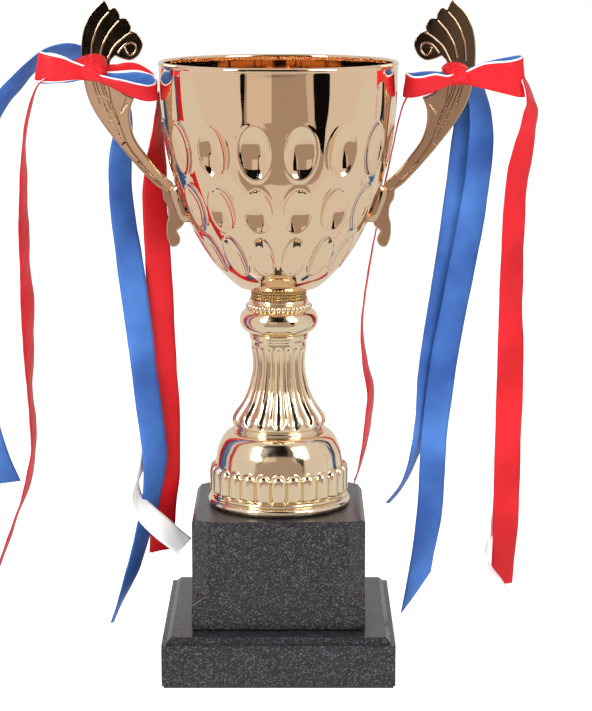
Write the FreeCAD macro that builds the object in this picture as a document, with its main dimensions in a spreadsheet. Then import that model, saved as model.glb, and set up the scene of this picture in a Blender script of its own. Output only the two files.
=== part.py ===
import FreeCAD, Part
import Sketcher
import math
import os
from FreeCAD import Placement, Rotation, Vector

# Cup trophy: a sheet-metal bowl with two scroll handles, on a fluted stem and a hollow two-part
# plinth, with a ribbon bow on each handle. Millimetres, +Z up, front towards -Y.
# The origin is the centre of the plinth's underside. The bowl's dimples are left to its finish.

SIZES = {
    # plinth
    "base_width": 100.0,
    "base_height": 19.0,
    "step_width": 96.0,
    "step_height": 2.6,
    "step_slope": 2.0,
    "block_width": 74.8,
    "block_height": 48.1,
    "block_chamfer": 7.0,
    "chamfer_stop": 11.5,
    "block_bevel": 1.8,
    "shadow_gap": 0.6,
    "felt_thickness": 1.0,
    "board_thickness": 2.5,
    "shell_wall": 2.6,
    "weight_width": 56.0,
    "weight_thickness": 8.0,
    "post_radius": 4.5,
    "post_place": 25.0,
    "base_screw_radius": 2.0,
    "weight_screw_radius": 1.2,
    # dome foot, stem, knob and collar
    "flange_radius": 31.3,
    "flange_height": 5.8,
    "dome_radius": 28.4,
    "dome_height": 32.6,
    "dome_top_radius": 22.6,
    "petal_count": 26,
    "petal_radius": 3.1,
    "petal_height": 11.5,
    "metal_wall": 1.4,
    "column_height": 43.5,
    "column_foot_radius": 20.4,
    "column_waist_radius": 11.1,
    "column_top_radius": 12.7,
    "flute_count": 18,
    "flute_depth": 0.8,
    "flute_width": 2.2,
    "knob_height": 15.2,
    "knob_radius": 17.2,
    "knob_tube_radius": 5.6,
    "bead_ring_radius": 13.3,
    "collar_radius": 12.2,
    "collar_height": 4.6,
    "rod_radius": 3.0,
    "rod_clearance": 0.3,
    # bowl
    "bowl_radius": 51.1,
    "bowl_wall": 1.5,
    "bowl_height": 98.0,
    "curve_height": 94.2,
    "curve_top_drop": 9.5,
    "curve_power_up": 1.82,
    "curve_power_out": 1.976,
    "bowl_seat_radius": 15.5,
    "rim_bead_radius": 1.1,
    # handles
    "handle_thickness": 3.0,
    "foot_pad_width": 9.0,
    "foot_pad_depth": 4.0,
    "foot_pad_length": 17.0,
    "foot_height": 202.5,
    "foot_screw_spacing": 9.0,
    "small_screw_radius": 1.5,
    # ribbons
    "ribbon_width": 11.8,
    "ribbon_thickness": 0.6,
    "knot_width": 15.0,
    "knot_height": 11.0,
}

doc = FreeCAD.newDocument("cup_trophy")
sheet = doc.addObject("Spreadsheet::Sheet", "Sizes")
for row, (alias, amount) in enumerate(SIZES.items(), start=1):
    sheet.set(f"A{row}", alias.replace("_", " "))
    sheet.set(f"B{row}", str(amount))
    sheet.setAlias(f"B{row}", alias)
doc.recompute()


class Size:
    """A length that carries its value and the expression that gives it from the sheet."""

    def __init__(self, value, text):
        self.value = float(value)
        self.text = text

    def __add__(self, other):
        other = as_size(other)
        return Size(self.value + other.value, f"({self.text} + {other.text})")

    def __sub__(self, other):
        other = as_size(other)
        return Size(self.value - other.value, f"({self.text} - {other.text})")

    def __mul__(self, factor):
        return Size(self.value * factor, f"({self.text} * {factor})")

    def __truediv__(self, factor):
        return Size(self.value / factor, f"({self.text} / {factor})")

    def __neg__(self):
        return Size(-self.value, f"(0 - {self.text})")


def as_size(item):
    return item if isinstance(item, Size) else Size(item, str(float(item)))


def size(alias):
    return Size(getattr(sheet, alias), f"Sizes.{alias}")


def read(alias):
    return float(getattr(sheet, alias))


def bind(thing, **sizes):
    """Ties properties of an object to the sheet."""
    for name, amount in sizes.items():
        thing.setExpression(name, as_size(amount).text)


def lift(thing, height, x=0.0, y=0.0):
    """Places an object at a height, and off the axis where asked."""
    thing.setExpression("Placement.Base.x", as_size(x).text)
    thing.setExpression("Placement.Base.y", as_size(y).text)
    thing.setExpression("Placement.Base.z", as_size(height).text)


# Heights of the faces where the pieces meet, from the ground up.
base_top = size("base_height") + size("step_height")
block_top = base_top + size("block_height")
dome_top = block_top + size("dome_height")
column_top = dome_top + size("column_height")
knob_top = column_top + size("knob_height")
collar_top = knob_top + size("collar_height")
rim_top = collar_top + size("bowl_height")
bore_radius = size("rod_radius") + size("rod_clearance")
board_post_place = size("base_width") / 2 - size("post_radius") - 4
weight_screw_place = size("weight_width") / 2 - 7


# ---- building blocks -------------------------------------------------------------------------


def new_body(label):
    return doc.addObject("PartDesign::Body", label)


def new_sketch(body, role, name):
    """A sketch on one of the body's own origin planes."""
    sketch = body.newObject("Sketcher::SketchObject", name)
    plane = next(item for item in body.Origin.OriginFeatures if item.Role == role)
    sketch.AttachmentSupport = [(plane, "")]
    sketch.MapMode = "FlatFace"
    return sketch


def fix_point(sketch, edge, end, x, y):
    """Holds one end of an edge at x, y, each tied to the sheet."""
    for kind, amount in (("DistanceX", x), ("DistanceY", y)):
        amount = as_size(amount)
        number = sketch.addConstraint(
            Sketcher.Constraint(kind, -1, 1, edge, end, amount.value))
        sketch.setExpression(f"Constraints[{number}]", amount.text)


def draw_outline(sketch, points):
    """A closed outline of straight edges."""
    first = sketch.GeometryCount
    corners = [Vector(as_size(x).value, as_size(y).value, 0) for x, y in points]
    for start, end in zip(corners, corners[1:] + corners[:1]):
        sketch.addGeometry(Part.LineSegment(start, end))
    count = len(points)
    for number, (x, y) in enumerate(points):
        following = first + (number + 1) % count
        sketch.addConstraint(Sketcher.Constraint("Coincident", first + number, 2, following, 1))
        fix_point(sketch, first + number, 1, x, y)


def draw_rectangle(sketch, half_x, half_y):
    draw_outline(sketch, [(-half_x, -half_y), (half_x, -half_y), (half_x, half_y), (-half_x, half_y)])


def draw_circle(sketch, radius, x=0.0, y=0.0):
    centre = Vector(as_size(x).value, as_size(y).value, 0)
    edge = sketch.addGeometry(Part.Circle(centre, Vector(0, 0, 1), as_size(radius).value))
    number = sketch.addConstraint(Sketcher.Constraint("Radius", edge, as_size(radius).value))
    sketch.setExpression(f"Constraints[{number}]", as_size(radius).text)
    fix_point(sketch, edge, 3, x, y)


def grow(body, kind, sketch, length, name, start=0.0):
    """A Pad that rises, or a Pocket that sinks, from a sketch at a height above the XY plane."""
    sketch.setExpression("AttachmentOffset.Base.z", as_size(start).text)
    feature = body.newObject(f"PartDesign::{kind}", name)
    feature.Profile = sketch
    bind(feature, Length=length)
    body.Tip = feature
    return feature


def turned(label, points):
    """A body turned about the Z axis from an outline in the XZ plane."""
    body = new_body(label)
    sketch = new_sketch(body, "XZ_Plane", label + "_outline")
    draw_outline(sketch, points)
    revolution = body.newObject("PartDesign::Revolution", label + "_turned")
    revolution.Profile = sketch
    revolution.ReferenceAxis = (sketch, ["V_Axis"])
    revolution.Angle = 360.0
    body.Tip = revolution
    return body


def round_edges(body, kind, amount, chosen, name):
    """A Fillet or Chamfer on the edges of the body for which chosen(edge) is true."""
    doc.recompute()
    base = body.Tip
    edges = [f"Edge{n}" for n, edge in enumerate(base.Shape.Edges, start=1) if chosen(edge)]
    feature = body.newObject(f"PartDesign::{kind}", name)
    feature.Base = (base, edges)
    bind(feature, **{"Radius" if kind == "Fillet" else "Size": amount})
    body.Tip = feature


def cylinder(name, radius, height, z=0.0, x=0.0, y=0.0):
    shape = doc.addObject("Part::Cylinder", name)
    bind(shape, Radius=radius, Height=height)
    lift(shape, z, x, y)
    return shape


def cut(label, base, tool):
    result = doc.addObject("Part::Cut", label)
    result.Base = base
    result.Tool = tool
    return result


def fuse(label, shapes):
    result = doc.addObject("Part::MultiFuse", label)
    result.Shapes = shapes
    return result


def group(label, shapes):
    """Identical separate solids that share one node."""
    result = doc.addObject("Part::Compound", label)
    result.Links = shapes
    return result


def washer(name, outer, inner, thickness, z, x=0.0, y=0.0):
    rim = cylinder(name + "_disc", outer, thickness, z, x, y)
    hole = cylinder(name + "_hole", inner, as_size(thickness) + 2, as_size(z) - 1, x, y)
    return cut(name, rim, hole)


def hex_nut(name, across_corners, height, bore, z):
    prism = doc.addObject("Part::Prism", name + "_hexagon")
    prism.Polygon = 6
    bind(prism, Circumradius=across_corners, Height=height)
    lift(prism, z)
    hole = cylinder(name + "_bore", bore, as_size(height) + 2, as_size(z) - 1)
    return cut(name, prism, hole)


def screw(name, shank, length, head, head_height, z, x=0.0, y=0.0):
    """A screw that points up: its head is below z and its shank above."""
    shaft = cylinder(name + "_shank", shank, length, z, x, y)
    cap = cylinder(name + "_head", head, head_height, as_size(z) - head_height, x, y)
    return fuse(name, [shaft, cap])


def corner_places(place):
    return [(place * sx, place * sy) for sx in (-1, 1) for sy in (-1, 1)]


def is_upright(edge):
    box = edge.BoundBox
    return box.ZLength > 5 and box.XLength < 0.01 and box.YLength < 0.01


def shaped(label, shape):
    thing = doc.addObject("Part::Feature", label)
    thing.Shape = shape
    return thing


nodes = []


def keep(thing):
    """Marks an object as a piece of the trophy, which gets a file of its own."""
    nodes.append(thing)
    return thing


# ---- plinth ----------------------------------------------------------------------------------


def plinth_base():
    """The hollow lower base: a tier, a small ledge, and a sloping step that carries the block."""
    body = new_body("plinth_base")
    half = size("base_width") / 2
    felt = size("felt_thickness")
    tier = new_sketch(body, "XY_Plane", "base_tier_outline")
    draw_rectangle(tier, half, half)
    grow(body, "Pad", tier, size("base_height") - felt, "base_tier", felt)
    round_edges(body, "Fillet", 0.8, is_upright, "base_tier_corners")
    step_half = size("step_width") / 2
    step = new_sketch(body, "XY_Plane", "base_step_outline")
    draw_rectangle(step, step_half, step_half)
    grow(body, "Pad", step, size("step_height"), "base_step", size("base_height"))
    top = base_top.value

    def on_top(edge):
        return edge.BoundBox.ZMin > top - 0.01

    round_edges(body, "Chamfer", size("step_slope"), on_top, "base_step_slope")
    wall = size("shell_wall")
    hollow = new_sketch(body, "XY_Plane", "base_hollow_outline")
    draw_rectangle(hollow, half - wall, half - wall)
    depth = size("base_height") - wall - felt
    grow(body, "Pocket", hollow, depth, "base_hollow", size("base_height") - wall)
    posts = new_sketch(body, "XY_Plane", "base_posts_outline")
    for x, y in corner_places(board_post_place):
        draw_circle(posts, size("post_radius"), x, y)
    post_foot = felt + size("board_thickness")
    post_length = size("base_height") - wall - post_foot + 0.5
    grow(body, "Pad", posts, post_length, "base_posts", post_foot)
    pilots = new_sketch(body, "XY_Plane", "base_pilot_outline")
    for x, y in corner_places(board_post_place):
        draw_circle(pilots, size("small_screw_radius"), x, y)
    grow(body, "Pocket", pilots, 9.0, "base_pilots", post_foot + 8)
    holes = new_sketch(body, "XY_Plane", "base_hole_outline")
    for x, y in corner_places(size("post_place")):
        draw_circle(holes, size("base_screw_radius") + 0.2, x, y)
    for x in (-weight_screw_place, weight_screw_place):
        draw_circle(holes, size("weight_screw_radius"), x, 0.0)
    grow(body, "Pocket", holes, 12.0, "base_holes", base_top + 1)
    return body


def plinth_block():
    """The hollow upper block: stopped chamfers on its corners, a bevelled top, and a narrow gap."""
    body = new_body("plinth_block")
    half = size("block_width") / 2
    gap = size("shadow_gap")
    outline = new_sketch(body, "XY_Plane", "block_outline")
    draw_rectangle(outline, half, half)
    grow(body, "Pad", outline, block_top - base_top - gap, "block_solid", base_top + gap)
    top = block_top.value

    def on_top(edge):
        return edge.BoundBox.ZMin > top - 0.01

    round_edges(body, "Chamfer", size("block_bevel"), on_top, "block_bevel")
    gap_outline = new_sketch(body, "XY_Plane", "block_gap_outline")
    draw_rectangle(gap_outline, half - 1.5, half - 1.5)
    grow(body, "Pad", gap_outline, gap + 0.5, "block_gap", base_top)
    corner = new_sketch(body, "XZ_Plane", "chamfer_outline")
    corner.AttachmentOffset = Placement(Vector(0, 0, 0), Rotation(Vector(0, 1, 0), 45))
    inner = (half * 2 - size("block_chamfer")) / math.sqrt(2)
    outer = half * math.sqrt(2) + 3
    stop = base_top + size("chamfer_stop")
    rise = size("block_chamfer") / math.sqrt(2) * 0.9
    draw_outline(corner, [(inner, stop + rise), (outer, stop - 3), (outer, block_top + 2),
                          (inner, block_top + 2)])
    chamfer = body.newObject("PartDesign::Pocket", "block_chamfer")
    chamfer.Profile = corner
    chamfer.SideType = "Symmetric"
    bind(chamfer, Length=size("block_chamfer") * 4)
    around = body.newObject("PartDesign::PolarPattern", "block_chamfers")
    around.Originals = [chamfer]
    around.Axis = (outline, ["N_Axis"])
    around.Angle = 360.0
    around.Occurrences = 4
    body.Tip = around
    wall = size("shell_wall")
    hollow = new_sketch(body, "XY_Plane", "block_hollow_outline")
    inside = half - wall
    cut_corner = size("block_chamfer")
    draw_outline(hollow, [
        (cut_corner - inside, -inside), (inside - cut_corner, -inside),
        (inside, cut_corner - inside), (inside, inside - cut_corner),
        (inside - cut_corner, inside), (cut_corner - inside, inside),
        (-inside, inside - cut_corner), (-inside, cut_corner - inside)])
    grow(body, "Pocket", hollow, block_top - wall - base_top, "block_hollow", block_top - wall)
    posts = new_sketch(body, "XY_Plane", "block_posts_outline")
    for x, y in corner_places(size("post_place")):
        draw_circle(posts, size("post_radius"), x, y)
    grow(body, "Pad", posts, block_top - base_top - wall + 0.5, "block_posts", base_top)
    pilots = new_sketch(body, "XY_Plane", "block_pilot_outline")
    for x, y in corner_places(size("post_place")):
        draw_circle(pilots, size("base_screw_radius"), x, y)
    grow(body, "Pocket", pilots, 14.0, "block_pilots", base_top + 14)
    bore = new_sketch(body, "XY_Plane", "block_bore_outline")
    draw_circle(bore, bore_radius)
    grow(body, "Pocket", bore, 12.0, "block_bore", block_top + 2)
    return body


def plinth_fittings():
    """Felt, cover board, weight and the screws inside the plinth."""
    felt_thickness = size("felt_thickness")
    half = size("base_width") / 2
    wall = size("shell_wall")
    felt = new_body("base_felt")
    felt_outline = new_sketch(felt, "XY_Plane", "felt_outline")
    draw_rectangle(felt_outline, half - 0.8, half - 0.8)
    grow(felt, "Pad", felt_outline, felt_thickness, "felt_sheet")
    keep(felt)
    board = new_body("bottom_board")
    board_outline = new_sketch(board, "XY_Plane", "board_outline")
    draw_rectangle(board_outline, half - wall - 0.2, half - wall - 0.2)
    grow(board, "Pad", board_outline, size("board_thickness"), "board_sheet", felt_thickness)
    board_holes = new_sketch(board, "XY_Plane", "board_hole_outline")
    for x, y in corner_places(board_post_place):
        draw_circle(board_holes, size("small_screw_radius") + 1.4, x, y)
    grow(board, "Pocket", board_holes, 9.0, "board_holes", felt_thickness + 8)
    keep(board)
    head_height = 1.6
    board_screws = []
    for number, (x, y) in enumerate(corner_places(board_post_place), start=1):
        board_screws.append(screw(f"board_screw_{number}", size("small_screw_radius"), 7.0,
                                  size("small_screw_radius") + 1.3, head_height,
                                  felt_thickness + size("board_thickness"), x, y))
    keep(group("board_screws", board_screws))
    base_screws = []
    shelf = size("base_height") - wall
    for number, (x, y) in enumerate(corner_places(size("post_place")), start=1):
        base_screws.append(screw(f"base_screw_{number}", size("base_screw_radius"), 15.0, 3.8, 2.2,
                                 shelf, x, y))
    keep(group("base_screws", base_screws))
    weight_top = shelf - 3
    weight = new_body("base_weight")
    weight_outline = new_sketch(weight, "XY_Plane", "weight_outline")
    draw_rectangle(weight_outline, size("weight_width") / 2, size("post_place") - 6)
    grow(weight, "Pad", weight_outline, size("weight_thickness"), "weight_plate",
         weight_top - size("weight_thickness"))
    weight_holes = new_sketch(weight, "XY_Plane", "weight_hole_outline")
    for x in (-weight_screw_place, weight_screw_place):
        draw_circle(weight_holes, 2.0, x, 0.0)
    grow(weight, "Pocket", weight_holes, 20.0, "weight_holes", weight_top + 2)
    keep(weight)
    weight_screws = []
    for number, x in enumerate((-weight_screw_place, weight_screw_place), start=1):
        weight_screws.append(screw(f"weight_screw_{number}", size("weight_screw_radius"),
                                   size("weight_thickness") + 3 + wall, 3.2, 1.4,
                                   weight_top - size("weight_thickness"), x))
    keep(group("weight_screws", weight_screws))


# ---- foot and stem ---------------------------------------------------------------------------


def smooth_profile(points, closing):
    """A face between a smooth curve through the points and the straight closing points."""
    curve = Part.BSplineCurve()
    curve.interpolate([Vector(r, 0, z) for r, z in points])
    ends = [points[-1]] + closing + [points[0]]
    corners = [Vector(r, 0, z) for r, z in ends]
    edges = [curve.toShape()]
    edges += [Part.LineSegment(a, b).toShape() for a, b in zip(corners, corners[1:])]
    return Part.Face(Part.Wire(edges))


def spin(face):
    return face.revolve(Vector(0, 0, 0), Vector(0, 0, 1), 360)


def dome_foot():
    """A hollow dome: a round flange, a ring of upright petals, and a shoulder under the column."""
    bottom = block_top.value
    top = dome_top.value
    radius = read("dome_radius")
    wall = read("metal_wall")
    flange = read("flange_radius")
    flange_height = read("flange_height")
    petal_length = read("petal_height")
    petal_radius = read("petal_radius")
    petals_top = bottom + flange_height + petal_length

    def solid_dome(inset):
        curve = [(radius - 0.4 - inset, petals_top), (radius - 1.3 - inset, petals_top + 6),
                 (radius - 3.4 - inset, petals_top + 11.5),
                 (read("dome_top_radius") - inset, top - inset)]
        straight = [(0, top - inset), (0, bottom), (radius - 0.4 - inset, bottom)]
        return spin(smooth_profile(curve, straight))

    bead = flange_height / 2
    dome = solid_dome(0)
    dome = dome.fuse(Part.makeCylinder(flange - bead, flange_height, Vector(0, 0, bottom)))
    dome = dome.fuse(Part.makeTorus(flange - bead, bead, Vector(0, 0, bottom + bead)))
    petals = []
    count = int(read("petal_count"))
    for number in range(count):
        angle = 2 * math.pi * number / count
        place = Vector(math.cos(angle), math.sin(angle), 0) * (radius - 1.4)
        foot = place + Vector(0, 0, bottom + flange_height - 1)
        length = petal_length + 1 - petal_radius
        petals.append(Part.makeCylinder(petal_radius, length, foot))
        petals.append(Part.makeSphere(petal_radius, foot + Vector(0, 0, length)))
    dome = dome.fuse(petals)
    bore = Part.makeCylinder(bore_radius.value, read("dome_height") + 4, Vector(0, 0, bottom))
    return shaped("dome_foot", dome.cut(solid_dome(wall + 1.2)).cut(bore))


def stem_column():
    """A waisted column with flutes that run into a rounded foot ring."""
    bottom = dome_top.value
    height = read("column_height")
    foot = read("column_foot_radius")
    waist = read("column_waist_radius")
    top_radius = read("column_top_radius")
    curve = [(foot, bottom + height * 0.12), (waist + 7.8, bottom + height * 0.19),
             (waist + 4.1, bottom + height * 0.31), (waist + 1.2, bottom + height * 0.5),
             (waist, bottom + height * 0.7), (waist + 0.6, bottom + height * 0.86),
             (top_radius, bottom + height)]
    straight = [(0, bottom + height), (0, bottom), (foot - 0.6, bottom), (foot, bottom + 1)]
    column = spin(smooth_profile(curve, straight))
    depth = read("flute_depth")
    width = read("flute_width")
    groove_line = [(r - depth, z) for r, z in curve[1:-1]]
    beyond = foot + 5
    groove = smooth_profile(groove_line, [(beyond, groove_line[-1][1]), (beyond, groove_line[0][1])])
    groove = groove.extrude(Vector(0, width, 0))
    groove.translate(Vector(0, -width / 2, 0))
    count = int(read("flute_count"))
    flutes = []
    for number in range(count):
        flute = groove.copy()
        flute.rotate(Vector(0, 0, 0), Vector(0, 0, 1), 360.0 * number / count)
        flutes.append(flute)
    bore = Part.makeCylinder(bore_radius.value, height + 2, Vector(0, 0, bottom - 1))
    return shaped("stem_column", column.cut(flutes).cut(bore))


def stem_knob():
    """A round knob between two short necks, with a ring of beads above it."""
    height = size("knob_height")
    tube = size("knob_tube_radius")
    torus = doc.addObject("Part::Torus", "knob_torus")
    bind(torus, Radius1=size("knob_radius") - tube, Radius2=tube)
    lift(torus, column_top + height * 0.38)
    neck = cylinder("knob_neck", size("column_top_radius") - 0.5, height, column_top)
    beads = cylinder("knob_bead_ring", size("bead_ring_radius"), height * 0.28,
                     column_top + height * 0.7)
    whole = fuse("knob_solid", [torus, neck, beads])
    bore = cylinder("knob_bore", bore_radius, height + 2, column_top - 1)
    return cut("stem_knob", whole, bore)


def bowl_collar():
    """A low collar with a groove round it, under the bowl."""
    radius = size("collar_radius")
    height = size("collar_height")
    low = knob_top
    return turned("bowl_collar", [
        (bore_radius, low), (radius - 0.6, low), (radius, low + 0.6),
        (radius, low + height * 0.4), (radius - 1.0, low + height * 0.5),
        (radius, low + height * 0.6), (radius, low + height - 0.6),
        (radius - 0.6, low + height), (bore_radius, low + height)])


def clamp_rod():
    """The threaded rod with its nuts and washers, from inside the block to inside the bowl."""
    bore = size("rod_radius")
    wall = size("shell_wall")
    floor = collar_top + size("bowl_wall")
    washer_height = 1.2
    keep(washer("bowl_washer", 11.0, bore_radius, washer_height, floor))
    cap = cylinder("cap_nut_body", 5.6, 6.0, floor + washer_height)
    dome = doc.addObject("Part::Sphere", "cap_nut_dome")
    bind(dome, Radius=4.6)
    lift(dome, floor + washer_height + 6.0)
    cap_bore = cylinder("cap_nut_bore", bore, 8.0, floor + washer_height - 1)
    keep(cut("rod_cap_nut", fuse("cap_nut_solid", [cap, dome]), cap_bore))
    under = block_top - wall - 1.6
    keep(washer("block_washer", 9.0, bore_radius, 1.6, under))
    keep(hex_nut("rod_nut", 5.77, 5.0, bore, under - 5.0))
    low = under - 9.0
    keep(cylinder("tie_rod", bore, floor + washer_height + 7.0 - low, low))


# ---- bowl ------------------------------------------------------------------------------------


def bowl_curve(share):
    """Radius and height of the bowl's outside; share runs from 0 at the straight wall down to 1."""
    reach = 1 - share ** read("curve_power_up")
    radius = read("bowl_radius") * reach ** (1 / read("curve_power_out"))
    return radius, rim_top.value - read("curve_top_drop") - read("curve_height") * share


def bowl_share(height):
    return (rim_top.value - read("curve_top_drop") - height) / read("curve_height")


def bowl_normal(share):
    """Outward direction of the bowl's wall, as radius and height."""
    step = 0.001
    r_high, z_high = bowl_curve(share - step)
    r_low, z_low = bowl_curve(share + step)
    length = math.hypot(r_high - r_low, z_high - z_low)
    return (z_high - z_low) / length, -(r_high - r_low) / length


def bowl_solid(inset):
    """The bowl as a solid, with its surface moved inwards by inset."""
    lowest = bowl_share(collar_top.value + 0.6)
    shares = [lowest * math.sin(math.pi / 2 * step / 12) for step in range(13)]
    curve = []
    for share in shares:
        radius, height = bowl_curve(share)
        out, up = bowl_normal(max(share, 0.002))
        curve.append((radius - inset * out, height - inset * up))
    floor = collar_top.value + inset
    seat = read("bowl_seat_radius") - inset
    top = rim_top.value - read("rim_bead_radius")
    straight = [(seat, floor), (0, floor), (0, top), (curve[0][0], top)]
    return spin(smooth_profile(curve, straight))


def cup_bowl():
    """The sheet bowl: an open shell with a rolled rim, a hole for the rod and four screw holes."""
    wall = read("bowl_wall")
    bead = read("rim_bead_radius")
    shell = bowl_solid(0).cut(bowl_solid(wall))
    rim = Part.makeTorus(read("bowl_radius") - wall / 2, bead, Vector(0, 0, rim_top.value - bead))
    bore = Part.makeCylinder(bore_radius.value, 10, Vector(0, 0, collar_top.value - 2))
    shell = shell.fuse(rim).cut(bore)
    for side in (-1, 1):
        for offset in (-0.5, 0.5):
            shell = shell.cut(foot_screw_axis(side, offset, read("small_screw_radius") + 0.3, 6, -4))
    return shaped("cup_bowl", shell)


# ---- handles ---------------------------------------------------------------------------------


def foot_frame():
    """Middle of the handle's foot on the bowl's wall, with the outward and upward directions."""
    share = bowl_share(read("foot_height"))
    radius, height = bowl_curve(share)
    out, up = bowl_normal(share)
    return Vector(radius, 0, height), Vector(out, 0, up), Vector(-up, 0, out)


def foot_screw_axis(side, offset, radius, length, start):
    """A round bar square to the bowl's wall; start is measured outwards from the wall."""
    middle, outward, along = foot_frame()
    base = middle + along * (offset * read("foot_screw_spacing")) + outward * start
    bar = Part.makeCylinder(radius, length, base, outward)
    return bar if side > 0 else bar.mirror(Vector(0, 0, 0), Vector(1, 0, 0))


# Outline of the handle plate in stretches that meet at corners: distance out from the bowl's axis
# and height. The stretches follow each other round the plate.
HANDLE_OUTLINE = [
    # outer edge, from the tip down the arm
    [(74.2, 289.4), (80.6, 282.5), (83.8, 273.0), (83.9, 260.0), (81.4, 247.4),
     (75.4, 236.5), (64.1, 222.1), (54.5, 211.6), (50.2, 208.2)],
    # foot: small shoulder, waist, and the hook that hangs below it
    [(50.2, 208.2), (49.9, 204.6), (48.2, 201.5), (47.8, 197.0), (48.6, 193.4),
     (48.4, 187.6), (46.5, 183.6), (43.6, 184.2), (42.6, 187.0), (44.1, 190.4)],
    [(44.1, 190.4), (41.4, 192.8), (40.3, 196.4), (41.2, 199.0)],
    [(41.2, 199.0), (43.6, 204.8), (45.6, 211.2)],
    # inner edge of the arm, up to the neck
    [(45.6, 211.2), (51.4, 216.4), (56.8, 223.3), (61.2, 229.6), (63.4, 236.2),
     (63.6, 242.6), (61.6, 248.2)],
    [(61.6, 248.2), (66.5, 250.6), (70.6, 256.2), (72.0, 262.6), (69.8, 265.8)],
    # scroll
    [(69.8, 265.8), (66.0, 264.3), (62.6, 264.0), (59.4, 266.4), (57.9, 270.8),
     (59.7, 274.6), (63.0, 276.4)],
    # three lobes of the crest
    [(63.0, 276.4), (62.9, 278.8), (64.8, 281.4), (67.4, 281.5)],
    [(67.4, 281.5), (68.0, 284.4), (69.8, 286.0), (72.0, 285.2)],
    [(72.0, 285.2), (72.6, 287.2), (74.2, 289.4)],
]


def handle_shape():
    """The right handle: a flat scroll plate with a pad that lies on the bowl's wall."""
    half = read("handle_thickness") / 2
    edges = []
    for stretch in HANDLE_OUTLINE:
        curve = Part.BSplineCurve()
        curve.interpolate([Vector(x, -half, z) for x, z in stretch])
        edges.append(curve.toShape())
    plate = Part.Face(Part.Wire(edges)).extrude(Vector(0, 2 * half, 0))
    middle, outward, along = foot_frame()
    depth = read("foot_pad_depth")
    width = read("foot_pad_width")
    length = read("foot_pad_length")
    pad = Part.makeBox(depth + 6, width, length, Vector(-6, -width / 2, -length / 2))
    tilt = math.degrees(math.atan2(outward.z, outward.x))
    pad.rotate(Vector(0, 0, 0), Vector(0, 1, 0), -tilt)
    pad.translate(middle)
    handle = plate.fuse(pad).cut(bowl_solid(-0.02))
    for offset in (-0.5, 0.5):
        hole = foot_screw_axis(1, offset, read("small_screw_radius"), 5.5, -2)
        handle = handle.cut(hole)
    return handle


def handles():
    right = keep(shaped("handle_right", handle_shape()))
    left = doc.addObject("Part::Mirroring", "handle_left")
    left.Source = right
    left.Normal = Vector(1, 0, 0)
    keep(left)
    wall = read("bowl_wall")
    shank = read("small_screw_radius")
    screws = []
    washers = []
    for side in (-1, 1):
        for offset in (-0.5, 0.5):
            disc = foot_screw_axis(side, offset, shank + 1.6, 0.6, -wall - 0.9)
            washers.append(disc.cut(foot_screw_axis(side, offset, shank + 0.3, 3, -wall - 2)))
            stem = foot_screw_axis(side, offset, shank, wall + 4.0, -wall - 0.9)
            head = foot_screw_axis(side, offset, shank + 1.3, 1.6, -wall - 2.5)
            screws.append(stem.fuse(head))
    keep(shaped("handle_washers", Part.makeCompound(washers)))
    keep(shaped("handle_screws", Part.makeCompound(screws)))


# ---- ribbons ---------------------------------------------------------------------------------

# One bow per handle: the knot's middle, the two loops (far end, height of their middle), and each
# ribbon's two tails. A tail has its depth and the middle line from the bow down to its cut end.
# A tail that hangs further back than EDGE_ON_DEPTH shows its edge to the front.
BOWS = {
    "left": {
        "knot": (-80.5, 259.6),
        "loops": [(-103.5, 261.4), (-52.6, 252.6)],
        "tails": {
            "red": [
                (-6.0, [(-102.5, 254.6), (-107.5, 236.0), (-109.6, 195.0), (-108.8, 143.0),
                        (-107.0, 103.0), (-112.0, 72.0), (-122.0, 44.0)]),
                (8.0, [(-57.6, 250.0), (-56.0, 230.0), (-54.8, 205.0), (-52.3, 159.0),
                       (-50.5, 120.0), (-49.9, 82.0), (-52.5, 41.0)]),
            ],
            "white": [
                (-4.6, [(-102.5, 254.6), (-107.5, 236.0), (-109.6, 195.0), (-108.8, 143.0),
                        (-107.0, 103.0), (-107.5, 84.0)]),
                (9.4, [(-62.0, 251.0), (-58.0, 205.0), (-56.0, 150.0), (-57.5, 110.0),
                       (-63.0, 88.0), (-57.0, 65.0), (-46.5, 46.0)]),
            ],
            "blue": [
                (4.6, [(-78.0, 264.8), (-90.0, 269.5), (-103.0, 264.0), (-114.0, 253.0),
                       (-126.0, 233.0), (-131.6, 180.0), (-129.6, 130.0), (-121.0, 90.0)]),
                (6.0, [(-74.0, 253.5), (-67.6, 240.0), (-68.8, 210.0), (-64.9, 174.1), (-60.4, 136.8),
                       (-55.5, 98.4), (-55.0, 73.3), (-61.9, 45.7), (-73.0, 14.0)]),
            ],
        },
    },
    "right": {
        "knot": (77.8, 258.2),
        "loops": [(54.0, 253.0), (105.0, 259.2)],
        "tails": {
            "red": [
                (-6.0, [(106.0, 252.2), (105.4, 230.0), (101.6, 200.0), (100.7, 150.0),
                        (100.5, 114.0), (100.0, 71.0), (98.9, 38.0)]),
                (14.0, [(57.0, 250.0), (54.5, 235.0), (49.5, 213.0), (42.5, 187.0),
                        (38.6, 144.0), (40.7, 116.0), (38.0, 92.0), (35.2, 78.0)]),
            ],
            "white": [
                (-4.6, [(106.0, 252.2), (105.4, 230.0), (101.6, 200.0), (100.7, 150.0),
                        (100.5, 114.0), (100.0, 66.0)]),
                (9.4, [(84.0, 252.0), (85.0, 225.0), (79.5, 181.2), (72.5, 136.8),
                       (69.0, 98.0)]),
            ],
            "blue": [
                (6.0, [(84.0, 252.5), (86.4, 225.0), (81.1, 181.2), (73.4, 136.8),
                       (68.0, 91.6), (67.4, 68.7), (63.5, 41.1), (59.7, 16.0)]),
                (7.4, [(82.0, 252.5), (80.2, 224.0), (75.4, 183.0), (67.0, 131.9),
                       (63.0, 95.7), (58.6, 81.0), (49.5, 68.5)]),
            ],
        },
    },
}
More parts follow.
